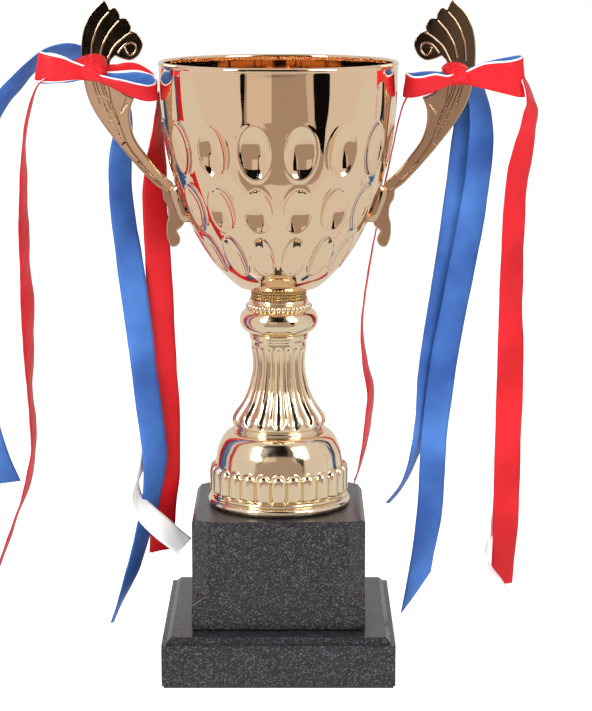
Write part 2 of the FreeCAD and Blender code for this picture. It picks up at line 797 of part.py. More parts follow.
LAYERS = {"red": 0.0, "white": 1.0, "blue": 2.0}
LOOP_DEPTH = -6.4
LOOP_HALF_DEPTH = 4.6
EDGE_ON_DEPTH = 10.0
KNOT_FRONT = -11.0
KNOT_DEPTH = 14.4
NECK_OUTER_EDGE = 84.6
NECK_WIDTH = 18.0


def strip(depth, line, width, thickness):
    """A flat strip along a line in the XZ plane, with its middle at the given depth."""
    centre = [Vector(x, 0, z) for x, z in line]
    left = []
    right = []
    for number, point in enumerate(centre):
        before = centre[max(number - 1, 0)]
        after = centre[min(number + 1, len(centre) - 1)]
        along = (after - before).normalize()
        across = Vector(along.z, 0, -along.x) * (width / 2)
        left.append(point + across)
        right.append(point - across)
    corners = left + right[::-1]
    face = Part.Face(Part.makePolygon(corners + corners[:1]))
    solid = face.extrude(Vector(0, thickness, 0))
    solid.translate(Vector(0, depth - thickness / 2, 0))
    return solid


def loop_band(near, far, height, inset, width, thickness):
    """One loop of the bow: an oval band that stands on edge."""
    reach = abs(far - near) / 2 - inset
    middle = Vector((near + far) / 2, LOOP_DEPTH, height - width / 2)

    def oval(shrink):
        curve = Part.Ellipse(middle, reach - shrink, LOOP_HALF_DEPTH - inset - shrink)
        return Part.Face(Part.Wire(curve.toShape())).extrude(Vector(0, 0, width))

    return oval(0).cut(oval(thickness))


def bow(side):
    """The knot round the handle's neck, and the three ribbons that leave it."""
    layout = BOWS[side]
    width = read("ribbon_width")
    thickness = read("ribbon_thickness")
    knot_width = read("knot_width")
    knot_height = read("knot_height")
    middle_x, middle_z = layout["knot"]
    corner = Vector(middle_x - knot_width / 2, KNOT_FRONT, middle_z - knot_height / 2)
    knot = Part.makeBox(knot_width, KNOT_DEPTH, knot_height, corner)
    slot_depth = read("handle_thickness") + 0.1
    slot_start = NECK_OUTER_EDGE - NECK_WIDTH
    slot = Part.makeBox(NECK_WIDTH, slot_depth, knot_height + 2,
                        Vector(slot_start, -slot_depth / 2, middle_z - knot_height / 2 - 1))
    if middle_x < 0:
        slot = slot.mirror(Vector(0, 0, 0), Vector(1, 0, 0))
    keep(shaped(f"{side}_bow_knot", knot.cut(slot)))
    for colour, layer in LAYERS.items():
        pieces = []
        for far, height in layout["loops"]:
            near = middle_x + math.copysign(knot_width / 2 + 0.3, far - middle_x)
            pieces.append(loop_band(near, far, height, layer, width, thickness))
        for depth, line in layout["tails"][colour]:
            edge_on = depth > EDGE_ON_DEPTH
            across = thickness if edge_on else width
            through = width if edge_on else thickness
            pieces.append(strip(depth, line, across, through))
        keep(shaped(f"{side}_ribbon_{colour}", Part.makeCompound(pieces)))


# ---- the whole trophy ------------------------------------------------------------------------

keep(plinth_base())
keep(plinth_block())
plinth_fittings()
keep(dome_foot())
keep(stem_column())
keep(stem_knob())
keep(bowl_collar())
clamp_rod()
keep(cup_bowl())
handles()
bow("left")
bow("right")
doc.recompute()

for thing in doc.Objects:
    if "Invalid" in thing.State or "Error" in thing.State:
        raise RuntimeError(f"{thing.Label} failed: {thing.State}")

os.makedirs("parts", exist_ok=True)
for node in nodes:
    shape = node.Shape
    if shape.isNull() or not shape.isValid() or not shape.Solids:
        raise RuntimeError(f"{node.Label} has no valid solid")
    shape.exportStep(f"parts/{node.Label}.step")
    print(f"{node.Label}: {len(shape.Solids)} solid(s), {shape.Volume / 1000:.2f} cm3")
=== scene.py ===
import math

import bmesh
import bpy
import numpy as np
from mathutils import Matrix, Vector, geometry


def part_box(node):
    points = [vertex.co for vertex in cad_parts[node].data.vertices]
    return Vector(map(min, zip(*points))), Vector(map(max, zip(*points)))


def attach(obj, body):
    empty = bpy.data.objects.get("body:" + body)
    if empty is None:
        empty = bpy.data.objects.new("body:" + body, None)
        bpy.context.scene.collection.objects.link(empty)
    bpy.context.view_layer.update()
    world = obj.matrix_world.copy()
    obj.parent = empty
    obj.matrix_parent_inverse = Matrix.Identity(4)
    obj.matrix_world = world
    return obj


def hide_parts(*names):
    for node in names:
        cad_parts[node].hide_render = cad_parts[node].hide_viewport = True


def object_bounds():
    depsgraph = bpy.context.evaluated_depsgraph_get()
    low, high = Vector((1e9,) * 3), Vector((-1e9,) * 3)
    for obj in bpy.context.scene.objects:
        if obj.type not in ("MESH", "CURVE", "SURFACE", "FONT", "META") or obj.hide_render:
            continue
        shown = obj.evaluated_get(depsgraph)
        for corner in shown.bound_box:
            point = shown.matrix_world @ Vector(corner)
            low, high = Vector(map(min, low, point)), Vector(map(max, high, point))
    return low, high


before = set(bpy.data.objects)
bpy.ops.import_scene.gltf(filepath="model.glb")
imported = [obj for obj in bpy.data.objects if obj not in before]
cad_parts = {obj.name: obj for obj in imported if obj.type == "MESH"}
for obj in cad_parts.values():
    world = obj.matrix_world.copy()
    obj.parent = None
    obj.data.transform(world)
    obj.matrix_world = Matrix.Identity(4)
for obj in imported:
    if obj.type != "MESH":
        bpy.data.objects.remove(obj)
cad_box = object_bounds()

MM = 0.001

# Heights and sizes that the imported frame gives, in millimetres.
BOWL_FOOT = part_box("cup_bowl")[0].z / MM
RIM_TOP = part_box("cup_bowl")[1].z / MM
COLLAR_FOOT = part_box("bowl_collar")[0].z / MM
KNOB_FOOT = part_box("stem_knob")[0].z / MM
COLUMN_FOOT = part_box("stem_column")[0].z / MM
DOME_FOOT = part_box("dome_foot")[0].z / MM


# ---- mesh helpers ----------------------------------------------------------------------------


def in_scene(name, data):
    """A new object of this data, linked to the scene."""
    thing = bpy.data.objects.new(name, data)
    bpy.context.scene.collection.objects.link(thing)
    return thing


def new_object(name, points, faces):
    """A smooth-shaded mesh object from points in millimetres; a closed skin ends facing outwards."""
    mesh = bpy.data.meshes.new(name)
    points = np.asarray(points, float).reshape(-1, 3) * MM
    faces = [list(map(int, face)) for face in faces]
    fans = points[[(face[0], face[i], face[i + 1]) for face in faces for i in range(1, len(face) - 1)]]
    volume = np.einsum("ij,ij->i", fans[:, 0], np.cross(fans[:, 1], fans[:, 2])).sum()
    if volume < 0:
        faces = [face[::-1] for face in faces]
    mesh.from_pydata(points.tolist(), [], faces)
    mesh.polygons.foreach_set("use_smooth", [True] * len(mesh.polygons))
    mesh.update()
    return in_scene(name, mesh)


def grid_faces(rows, columns, wrap_rows=False, wrap_columns=False):
    """Quads between neighbouring points of a grid that is stored row by row."""
    row = np.arange(rows if wrap_rows else rows - 1)
    column = np.arange(columns if wrap_columns else columns - 1)
    row, column = np.meshgrid(row, column, indexing="ij")
    next_row = (row + 1) % rows
    next_column = (column + 1) % columns
    quads = [row * columns + column, row * columns + next_column,
             next_row * columns + next_column, next_row * columns + column]
    return np.stack(quads, -1).reshape(-1, 4)


def closed_sheet(rows, columns):
    """Faces of a thin closed sheet: a grid, the same grid again for its other side, and the rim."""
    size = rows * columns
    grid = grid_faces(rows, columns)
    faces = [tuple(f) for f in grid] + [tuple(f[::-1] + size) for f in grid]
    rim = list(range(columns)) + [r * columns + columns - 1 for r in range(1, rows)]
    rim += [(rows - 1) * columns + c for c in range(columns - 2, -1, -1)]
    rim += [r * columns for r in range(rows - 2, 0, -1)]
    return faces + [(b, a, size + a, size + b) for a, b in zip(rim, rim[1:] + rim[:1])]


def travel(points):
    """Distance travelled along a line up to each of its points."""
    steps = np.linalg.norm(np.diff(points, axis=0), axis=1)
    return np.concatenate([[0], np.cumsum(steps)])


def unit(rows):
    return rows / np.linalg.norm(rows, axis=1)[:, None]


def resample(points, spacing):
    """Points evenly spaced along a smooth line through the given points."""
    points = np.asarray(points, float)
    before = np.vstack([2 * points[0] - points[1], points])
    padded = np.vstack([before, 2 * points[-1] - points[-2]])
    fine = []
    for start in range(len(points) - 1):
        a, b, c, d = padded[start:start + 4]
        for t in np.linspace(0, 1, 24, endpoint=False):
            fine.append(0.5 * (2 * b + (c - a) * t + (2 * a - 5 * b + 4 * c - d) * t * t
                               + (3 * b - a - 3 * c + d) * t ** 3))
    fine.append(points[-1])
    fine = np.array(fine)
    along = travel(fine)
    count = max(2, int(round(along[-1] / spacing)) + 1)
    even = np.linspace(0, along[-1], count)
    return np.stack([np.interp(even, along, fine[:, k]) for k in range(fine.shape[1])], -1)


def revolve(name, profile, turns, push):
    """A closed ring-shaped skin from a closed profile of radius and height.

    push(angle, radius, height) gives how far each point moves outwards.
    """
    profile = np.asarray(profile, float)
    angle = np.linspace(0, 2 * math.pi, turns, endpoint=False)
    angle, radius = np.meshgrid(angle, profile[:, 0], indexing="xy")
    height = np.repeat(profile[:, 1][:, None], turns, 1)
    radius = radius + push(angle, radius, height)
    points = np.stack([radius * np.cos(angle), radius * np.sin(angle), height], -1)
    faces = grid_faces(len(profile), turns, wrap_rows=True, wrap_columns=True)
    return new_object(name, points, faces)


def arc(centre_r, centre_z, radius, start, end, count):
    """Points of an arc in the profile plane; the angles are in degrees from outwards."""
    angles = np.radians(np.linspace(start, end, count))
    return [(centre_r + radius * math.cos(a), centre_z + radius * math.sin(a)) for a in angles]


def smooth_step(low, high, value):
    """Rises smoothly from 0 at low to 1 at high."""
    share = np.clip((value - low) / (high - low), 0, 1)
    return share * share * (3 - 2 * share)


# ---- materials -------------------------------------------------------------------------------


def new_material(name):
    material = bpy.data.materials.new(name)
    material.use_nodes = True
    tree = material.node_tree
    shader = tree.nodes["Principled BSDF"]
    return material, tree, shader


def put(tree, node, **inputs):
    """Sets a node's inputs: an output of another node is linked, anything else is the value."""
    for name, value in inputs.items():
        socket = node.inputs[name.replace("_", " ")]
        if isinstance(value, bpy.types.NodeSocket):
            tree.links.new(value, socket)
        else:
            socket.default_value = value


def add(tree, kind, settings=None, **inputs):
    """A node with its settings and its inputs."""
    node = tree.nodes.new(kind)
    for name, value in (settings or {}).items():
        setattr(node, name, value)
    put(tree, node, **inputs)
    return node


def own_place(tree):
    """Where a point is in the object's own space."""
    return tree.nodes.new("ShaderNodeTexCoord").outputs["Object"]


def noise_of(tree, scale, detail=4.0, roughness=0.5):
    """Noise in the object's own space."""
    return add(tree, "ShaderNodeTexNoise", Scale=scale, Detail=detail, Roughness=roughness,
               Vector=own_place(tree)).outputs["Fac"]


def spread(tree, source, low, high, from_low=0.3, from_high=0.7):
    """Maps a value onto a range."""
    return add(tree, "ShaderNodeMapRange", Value=source, From_Min=from_low, From_Max=from_high,
               To_Min=low, To_Max=high).outputs["Result"]


def two_colours(tree, factor, first, second):
    return add(tree, "ShaderNodeMix", {"data_type": "RGBA"}, Factor=factor, A=(*first, 1),
               B=(*second, 1)).outputs["Result"]


def bump(tree, height, strength, distance):
    return add(tree, "ShaderNodeBump", Strength=strength, Distance=distance,
               Height=height).outputs["Normal"]


def gold_material(name, light, deep, roughness, ripple):
    """Polished plating: slight colour drift, faint haze and a soft waviness of the sheet."""
    material, tree, shader = new_material(name)
    drift = noise_of(tree, 45.0, 3.0)
    haze = noise_of(tree, 160.0, 5.0, 0.6)
    waves = noise_of(tree, 70.0, 2.0)
    put(tree, shader, Metallic=1.0, Base_Color=two_colours(tree, drift, light, deep),
        Roughness=spread(tree, haze, roughness * 0.7, roughness * 1.5),
        Normal=bump(tree, waves, ripple, 0.0006))
    return material


def steel_material():
    material, tree, shader = new_material("zinc_steel")
    stains = noise_of(tree, 300.0, 5.0)
    put(tree, shader, Metallic=1.0, Roughness=spread(tree, stains, 0.22, 0.42),
        Base_Color=two_colours(tree, stains, (0.55, 0.55, 0.56), (0.74, 0.74, 0.72)))
    return material


def speckled_black():
    """Black moulded plastic with fine silvery flakes below a gloss skin."""
    material, tree, shader = new_material("speckled_black")
    flakes = add(tree, "ShaderNodeTexVoronoi", Scale=2400.0, Vector=own_place(tree))
    bright = add(tree, "ShaderNodeSeparateColor", Color=flakes.outputs["Color"])
    chosen = spread(tree, bright.outputs["Red"], 0.0, 1.0, 0.72, 1.0)
    grain = noise_of(tree, 1500.0, 3.0)
    put(tree, shader, Roughness=spread(tree, grain, 0.28, 0.44), Specular_IOR_Level=0.35,
        Base_Color=two_colours(tree, chosen, (0.0105, 0.0095, 0.0125), (0.115, 0.11, 0.125)),
        Normal=bump(tree, grain, 0.25, 0.00012), Coat_Weight=0.25, Coat_Roughness=0.12)
    return material


def satin_material(name, bright, shade):
    """Satin ribbon: a soft lengthwise sheen, the fine cross ribs of its weave, and painted sheen and shade
    in its colour: broad patches and a fine sparkle noise mix the base colour between a painted highlight
    colour (bright) and a painted shade colour (shade).
    """
    material, tree, shader = new_material(name)
    place = tree.nodes.new("ShaderNodeUVMap").outputs["UV"]
    weave = add(tree, "ShaderNodeTexWave", {"bands_direction": "Y"}, Scale=1400.0, Distortion=1.5,
                Vector=place)
    # Broad patches of painted sheen and shade in the colour; the same patches also vary the roughness.
    painted_sheen_and_gloss_patches = noise_of(tree, 26.0, 3.0, 0.5)
    # Painted sheen: the patches plus a fine noise of painted sparkle pick between the shade colour and the
    # bright colour.
    painted_sheen_mix = add(tree, "ShaderNodeMath", {"operation": "MULTIPLY_ADD"})
    tree.links.new(noise_of(tree, 700.0, 3.0, 0.6), painted_sheen_mix.inputs[0])
    painted_sheen_mix.inputs[1].default_value = 0.25
    tree.links.new(spread(tree, painted_sheen_and_gloss_patches, 0.0, 0.8, 0.36, 0.64), painted_sheen_mix.inputs[2])
    put(tree, shader, Base_Color=two_colours(tree, painted_sheen_mix.outputs["Value"], shade, bright),
        Roughness=spread(tree, painted_sheen_and_gloss_patches, 0.44, 0.34), Sheen_Weight=0.04, Sheen_Roughness=0.4,
        Normal=bump(tree, weave.outputs["Fac"], 0.25, 0.00006), Anisotropic=0.5,
        Specular_IOR_Level=0.22)
    return material


def plain_material(name, first, second, scale, roughness):
    material, tree, shader = new_material(name)
    grain = noise_of(tree, scale, 6.0, 0.6)
    put(tree, shader, Base_Color=two_colours(tree, grain, first, second),
        Normal=bump(tree, grain, 0.4, 0.0002), Roughness=roughness)
    return material


def emitter(name, colour, strength):
    material, tree, _ = new_material(name)
    tree.nodes.clear()
    glow = add(tree, "ShaderNodeEmission", Strength=strength, Color=(*colour, 1))
    add(tree, "ShaderNodeOutputMaterial", Surface=glow.outputs["Emission"])
    return material


PALE_GOLD = gold_material("pale_gold", (0.92, 0.68, 0.47), (0.90, 0.65, 0.43), 0.035, 0.02)
CAST_GOLD = gold_material("cast_gold", (0.95, 0.77, 0.54), (0.88, 0.70, 0.47), 0.11, 0.10)
HANDLE_GOLD = gold_material("handle_gold", (0.74, 0.51, 0.34), (0.68, 0.46, 0.30), 0.10, 0.10)
DEEP_GOLD = gold_material("deep_gold", (0.58, 0.41, 0.19), (0.50, 0.34, 0.14), 0.12, 0.04)
STEEL = steel_material()
BLACK = speckled_black()
# Each ribbon colour is a painted highlight colour, then a painted shade colour, for the painted sheen of the
# satin.
SATIN = {
    "red": satin_material("satin_red", (0.68, 0.010, 0.018), (0.44, 0.003, 0.007)),
    "white": satin_material("satin_white", (0.96, 0.96, 0.97), (0.90, 0.90, 0.92)),
    "blue": satin_material("satin_blue", (0.066, 0.195, 0.56), (0.018, 0.066, 0.27)),
}
BOARD = plain_material("hardboard", (0.26, 0.16, 0.09), (0.36, 0.24, 0.14), 220.0, 0.7)
FELT = plain_material("felt", (0.02, 0.02, 0.022), (0.06, 0.06, 0.065), 900.0, 0.95)
PRIMER = plain_material("weight_primer", (0.10, 0.10, 0.11), (0.2, 0.2, 0.2), 300.0, 0.6)


def dress(thing, material, slot, *replaced):
    """Gives a piece its material, and puts it in the place of its CAD nodes."""
    thing.data.materials.clear()
    thing.data.materials.append(material)
    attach(thing, "root")
    if replaced:
        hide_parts(*replaced)
    return thing


# ---- bowl ------------------------------------------------------------------------------------

BOWL_RADIUS = 51.1
BOWL_WALL = 1.3
STRAIGHT_WALL = 9.5
CURVE_HEIGHT = 94.2
CURVE_POWER_UP = 1.82
CURVE_POWER_OUT = 1.976
SEAT_RADIUS = 15.5
ROD_HOLE = 3.3
RIM_BEAD = 1.1
DIMPLE_COLUMNS = 16
# Height of the middle, half height along the wall, half width, and depth of each row of dimples.
DIMPLE_ROWS = [(228.7, 11.1, 6.9, 3.0), (203.9, 10.1, 6.3, 2.8), (183.4, 10.2, 4.9, 2.1)]


def bowl_profile(spacing):
    """Outside of the bowl from the foot's hole up to the rim, as radius and height."""
    top = RIM_TOP - STRAIGHT_WALL
    lowest = (top - BOWL_FOOT - 0.6) / CURVE_HEIGHT
    share = lowest * np.sin(np.linspace(0, math.pi / 2, 400))
    radius = BOWL_RADIUS * (1 - share ** CURVE_POWER_UP) ** (1 / CURVE_POWER_OUT)
    curve = np.stack([radius, top - CURVE_HEIGHT * share], -1)[::-1]
    foot = [(ROD_HOLE, BOWL_FOOT), (SEAT_RADIUS * 0.5, BOWL_FOOT), (SEAT_RADIUS - 1.2, BOWL_FOOT)]
    points = np.vstack([foot, curve, [(BOWL_RADIUS, RIM_TOP - 2.0 * RIM_BEAD)]])
    along = travel(points)
    even = np.linspace(0, along[-1], int(along[-1] / spacing))
    return np.stack([np.interp(even, along, points[:, k]) for k in range(2)], -1), even


def dimple_depth(angle, radius, height, along):
    """How far the wall is pressed in at each point."""
    pitch = 2 * math.pi / DIMPLE_COLUMNS
    offset = (np.mod(angle, pitch) - pitch / 2) * radius
    depth = np.zeros_like(radius)
    for middle, half_height, half_width, deepest in DIMPLE_ROWS:
        centre = np.interp(middle, height[:, 0], along)
        reach = np.sqrt((offset / half_width) ** 2 + ((along[:, None] - centre) / half_height) ** 2)
        inside = np.clip(1 - reach ** 2, 0, 1)
        pressed = deepest * inside ** 0.85
        lip = 0.22 * np.exp(-((reach - 1.04) / 0.07) ** 2)
        depth = depth + pressed - lip
    return depth


def make_bowl():
    profile, along = bowl_profile(0.62)
    direction = unit(np.gradient(profile, axis=0))
    normal = np.stack([direction[:, 1], -direction[:, 0]], -1)
    turns = 640
    angle = np.linspace(0, 2 * math.pi, turns, endpoint=False)[None, :]
    radius = np.repeat(profile[:, :1], turns, 1)
    height = np.repeat(profile[:, 1:], turns, 1)
    depth = dimple_depth(angle + 0 * radius, radius, height, along)

    def skin(inset):
        out = radius - normal[:, :1] * (depth + inset)
        up = height - normal[:, 1:] * (depth + inset)
        return np.stack([out * np.cos(angle), out * np.sin(angle), up], -1)

    outside = skin(0.0)
    inside = skin(BOWL_WALL)[::-1]
    bead = []
    centre_r = BOWL_RADIUS - BOWL_WALL / 2
    for r, z in arc(centre_r, RIM_TOP - RIM_BEAD, RIM_BEAD, -50, 230, 12):
        bead.append(np.stack([r * np.cos(angle[0]), r * np.sin(angle[0]), z + 0 * angle[0]], -1))
    points = np.concatenate([outside, np.array(bead), inside])
    faces = grid_faces(len(points), turns, wrap_rows=True, wrap_columns=True)
    bowl = new_object("bowl", points, faces)
    return dress(bowl, PALE_GOLD, "gold", "cup_bowl")


# ---- collar, knob, column and dome -----------------------------------------------------------


def across_each(angle, count):
    """Where an angle lies across its own one of so many equal parts of a turn, from -1 to 1."""
    return np.mod(angle * count / (2 * math.pi), 1.0) * 2 - 1


NOTCHES = 60
BEADS = 36
BEAD_RADIUS = 1.35


def make_collar():
    """A short stack of three thin rings with fine notches."""
    low = COLLAR_FOOT
    profile = [(ROD_HOLE, low), (11.4, low)]
    for middle, bead in ((low + 0.7, 0.7), (low + 2.2, 0.6), (low + 3.6, 0.75)):
        profile += arc(11.5, middle, bead, -80, 80, 9)
    profile += [(11.0, BOWL_FOOT), (ROD_HOLE, BOWL_FOOT)]

    def notches(angle, radius, height):
        return 0.12 * np.cos(angle * NOTCHES) * (radius > 11.6)

    collar = revolve("collar", profile, 360, notches)
    return dress(collar, DEEP_GOLD, "gold_deep", "bowl_collar")


def make_knob():
    """The round knob, a plain neck, and the ring of small beads with a fillet above and below."""
    low = KNOB_FOOT
    top = COLLAR_FOOT
    bead_height = low + 11.9
    profile = [(ROD_HOLE, low), (12.4, low), (12.6, low + 0.4)]
    profile += arc(11.6, low + 5.8, 5.6, -78, 74, 26)
    profile += arc(13.0, bead_height, BEAD_RADIUS, -86, 86, 14)
    profile += [(12.7, top - 1.6)] + arc(12.5, top - 0.75, 0.6, -80, 80, 7)
    profile += [(12.2, top), (ROD_HOLE, top)]

    def beads(angle, radius, height):
        level = np.abs(height - bead_height) / (BEAD_RADIUS + 0.1)
        ring = np.clip(1 - level ** 2, 0, 1) * (radius > 12.9)
        phase = np.abs(np.sin(angle * BEADS / 2))
        return ring * (np.sqrt(phase) - 0.75) * 0.9

    knob = revolve("knob", resample(profile, 0.35), 720, beads)
    return dress(knob, CAST_GOLD, "gold", "stem_knob")


FLUTES = 18
FLUTE_START = 3.4
FLUTE_END = 39.0
FLUTE_DEPTH = 1.35


def make_column():
    """The waisted column: grooves that start round above the foot ring and fade at the top."""
    low = COLUMN_FOOT
    top = KNOB_FOOT
    profile = [(ROD_HOLE, low), (19.2, low), (20.0, low + 0.5), (20.3, low + 1.4), (19.7, low + 2.2),
               (20.3, low + 3.2), (20.5, low + 4.6), (20.2, low + 6.2), (18.9, low + 8.3),
               (16.9, low + 11.0), (15.2, low + 13.7), (14.0, low + 16.4), (12.9, low + 19.4),
               (12.1, low + 22.6), (11.4, low + 26.0), (11.1, low + 30.5), (11.5, low + 35.0),
               (12.1, low + 38.2), (12.2, low + 40.2), (12.8, low + 41.2), (12.9, low + 42.4),
               (12.3, top), (ROD_HOLE, top)]

    def flutes(angle, radius, height):
        rise = height - low
        phase = across_each(angle, FLUTES)
        spacing = math.pi * radius / FLUTES
        tongue = np.sqrt(np.clip(1 - phase ** 2, 0, 1))
        start = FLUTE_START + 4.6 * (1 - tongue)
        fade_in = smooth_step(0, 2.2, rise - start)
        fade_out = 1 - smooth_step(FLUTE_END - 3.0, FLUTE_END, rise)
        groove = np.clip(1 - (np.abs(phase) / 0.86) ** 2.2, 0, 1)
        shown = fade_in * fade_out * (radius > ROD_HOLE + 1.7)
        depth = np.clip(spacing * 0.42, 0, FLUTE_DEPTH) * groove
        return (0.25 * (1 - groove) - depth) * shown

    column = revolve("column", resample(profile, 0.4), 720, flutes)
    return dress(column, CAST_GOLD, "gold", "stem_column")


PETALS = 26
PETAL_SWELL = 2.3
DOME_RADIUS = 28.0


def make_dome():
    """The hollow dome: rolled flange, a ring of raised petals with round tops, smooth shoulder."""
    low = DOME_FOOT
    top = COLUMN_FOOT
    profile = [(26.5, low), (29.6, low)]
    profile += arc(29.4, low + 1.9, 1.9, -70, 90, 10)
    profile += arc(29.0, low + 4.7, 1.1, -60, 80, 8)
    profile += [(28.2, low + 6.4), (28.2, low + 10.0), (28.3, low + 14.0), (28.1, low + 18.0),
                (27.8, low + 20.5), (27.2, low + 24.0), (26.0, low + 27.2), (24.4, low + 30.2),
                (22.3, low + 32.2), (20.6, top), (17.0, top), (ROD_HOLE, top),
                (ROD_HOLE, top - 1.4), (17.0, top - 1.4), (21.0, top - 2.2), (25.0, low + 24.0),
                (26.4, low + 18.0), (26.6, low + 8.0)]
    petal_low = low + 6.2
    petal_top = low + 18.4

    def petals(angle, radius, height):
        half = math.pi * DOME_RADIUS / PETALS
        across = across_each(angle, PETALS) * half
        cap = np.clip(height - (petal_top - half), 0, None)
        reach = np.sqrt(across ** 2 + cap ** 2) / (half * 0.97)
        swell = np.sqrt(np.clip(1 - reach ** 2, 0, 1))
        open_below = smooth_step(petal_low - 0.4, petal_low + 0.8, height)
        outside = (radius > DOME_RADIUS - 1.0) * (height < petal_top + 0.5)
        return PETAL_SWELL * swell * open_below * outside

    dome = revolve("dome", resample(profile, 0.42), 1040, petals)
    return dress(dome, CAST_GOLD, "gold", "dome_foot")


make_bowl()
make_collar()
make_knob()
make_column()
make_dome()


# ---- handles ---------------------------------------------------------------------------------

# Outline of the right handle plate in stretches that meet at corners: distance out from the
# bowl's axis and height, in millimetres, the same as the CAD plate's.
HANDLE_OUTLINE = [
    # outer edge, from the tip down the arm
    [(74.2, 289.4), (80.6, 282.5), (83.8, 273.0), (83.9, 260.0), (81.4, 247.4),
     (75.4, 236.5), (64.1, 222.1), (54.5, 211.6), (50.2, 208.2)],
    # foot: small shoulder, waist, and the hook that hangs below it
    [(50.2, 208.2), (49.9, 204.6), (48.2, 201.5), (47.8, 197.0), (48.6, 193.4),
     (48.4, 187.6), (46.5, 183.6), (43.6, 184.2), (42.6, 187.0), (44.1, 190.4)],
    [(44.1, 190.4), (41.4, 192.8), (40.3, 196.4), (41.2, 199.0)],
    [(41.2, 199.0), (43.6, 204.8), (45.6, 211.2)],
    # inner edge of the arm, up to the neck
    [(45.6, 211.2), (51.4, 216.4), (56.8, 223.3), (61.2, 229.6), (63.4, 236.2),
     (63.6, 242.6), (61.6, 248.2)],
    [(61.6, 248.2), (66.5, 250.6), (70.6, 256.2), (72.0, 262.6), (69.8, 265.8)],
    # scroll
    [(69.8, 265.8), (66.0, 264.3), (62.6, 264.0), (59.4, 266.4), (57.9, 270.8),
     (59.7, 274.6), (63.0, 276.4)],
    # three lobes of the crest
    [(63.0, 276.4), (62.9, 278.8), (64.8, 281.4), (67.4, 281.5)],
    [(67.4, 281.5), (68.0, 284.4), (69.8, 286.0), (72.0, 285.2)],
    [(72.0, 285.2), (72.6, 287.2), (74.2, 289.4)],
]
HALF_PLATE = 1.5
GRID_STEP = 0.42
RIB_RISE = 0.27
RIB_HALF_WIDTH = 0.15
LINE_DEPTH = 0.34
LINE_HALF_WIDTH = 0.13
# Raised ribs of the crest with the scroll's curl as the last, then the engraved lines of the arm.
CREST_RIBS = [
    [(71.8, 284.6), (74.8, 281.4), (77.0, 277.9), (78.4, 274.4), (79.5, 270.6), (79.9, 264.0)],
    [(67.2, 281.4), (71.3, 276.8), (73.3, 273.6), (75.0, 270.3), (76.2, 265.6)],
    [(62.4, 276.0), (64.9, 274.4), (67.6, 272.2), (69.8, 270.1), (71.5, 267.4), (73.3, 263.6)],
    [(68.2, 267.4), (66.6, 269.5), (64.9, 270.9), (62.7, 271.5), (61.1, 270.6), (60.7, 268.7),
     (61.7, 266.8), (63.3, 266.1), (64.8, 267.5), (65.5, 269.3)],
]
ARM_LINES = [
    [(79.6, 257.0), (78.0, 250.5), (75.9, 244.6)],
    [(78.4, 257.0), (76.9, 251.3), (74.6, 245.7), (72.0, 239.6), (69.2, 234.3), (67.3, 230.1)],
    [(76.4, 257.0), (75.1, 251.3), (72.8, 245.7), (70.3, 240.0), (68.1, 236.1)],
    [(74.9, 256.0), (74.0, 251.3), (71.4, 245.2), (68.6, 238.3), (65.8, 230.4), (63.2, 225.6),
     (59.8, 221.2), (56.8, 217.2), (53.4, 213.7), (50.0, 210.1), (46.5, 207.1)],
    [(72.8, 255.0), (72.1, 250.0), (71.0, 244.8), (69.3, 240.6), (67.9, 235.6)],
    [(64.7, 249.0), (67.6, 241.5)],
    [(67.6, 241.5), (64.6, 245.6)],
]
RELIEF_OFFSETS = (-0.38, -0.24, -0.15, -0.07, 0.0, 0.07, 0.15, 0.24, 0.38)
# Where the strip along the arm's outer edge steps up, as heights on its inner line.
ARM_STEPS = [229.7, 221.2, 217.0, 213.2, 209.6]
ARM_SLOPE = np.array(Vector((64.1 - 54.5, 222.1 - 211.6)).normalized())


def spline_loop(stretches, spacing):
    """Points round a closed outline whose stretches are smooth and meet at corners."""
    return np.vstack([resample(stretch, spacing)[:-1] for stretch in stretches])


def distance_to(line, points):
    """Shortest distance from each point to a line of straight runs, and how far along that is."""
    line = np.asarray(line, float)
    nearest = np.full(len(points), 1e9)
    place = np.zeros(len(points))
    travelled = 0.0
    for a, b in zip(line[:-1], line[1:]):
        run = b - a
        length = np.hypot(*run)
        share = np.clip(((points - a) @ run) / length ** 2, 0, 1)
        gap = np.hypot(*(points - a - share[:, None] * run).T)
        closer = gap < nearest
        nearest = np.where(closer, gap, nearest)
        place = np.where(closer, travelled + share * length, place)
        travelled += length
    return nearest, place / travelled


def inside_outline(points, outline):
    """Even-odd test of each point against a closed outline."""
    x, y = points[:, 0], points[:, 1]
    result = np.zeros(len(points), bool)
    for (x0, y0), (x1, y1) in zip(outline, np.roll(outline, -1, axis=0)):
        if y0 == y1:
            continue
        crosses = (y0 > y) != (y1 > y)
        result ^= crosses & (x < (x1 - x0) * (y - y0) / (y1 - y0) + x0)
    return result


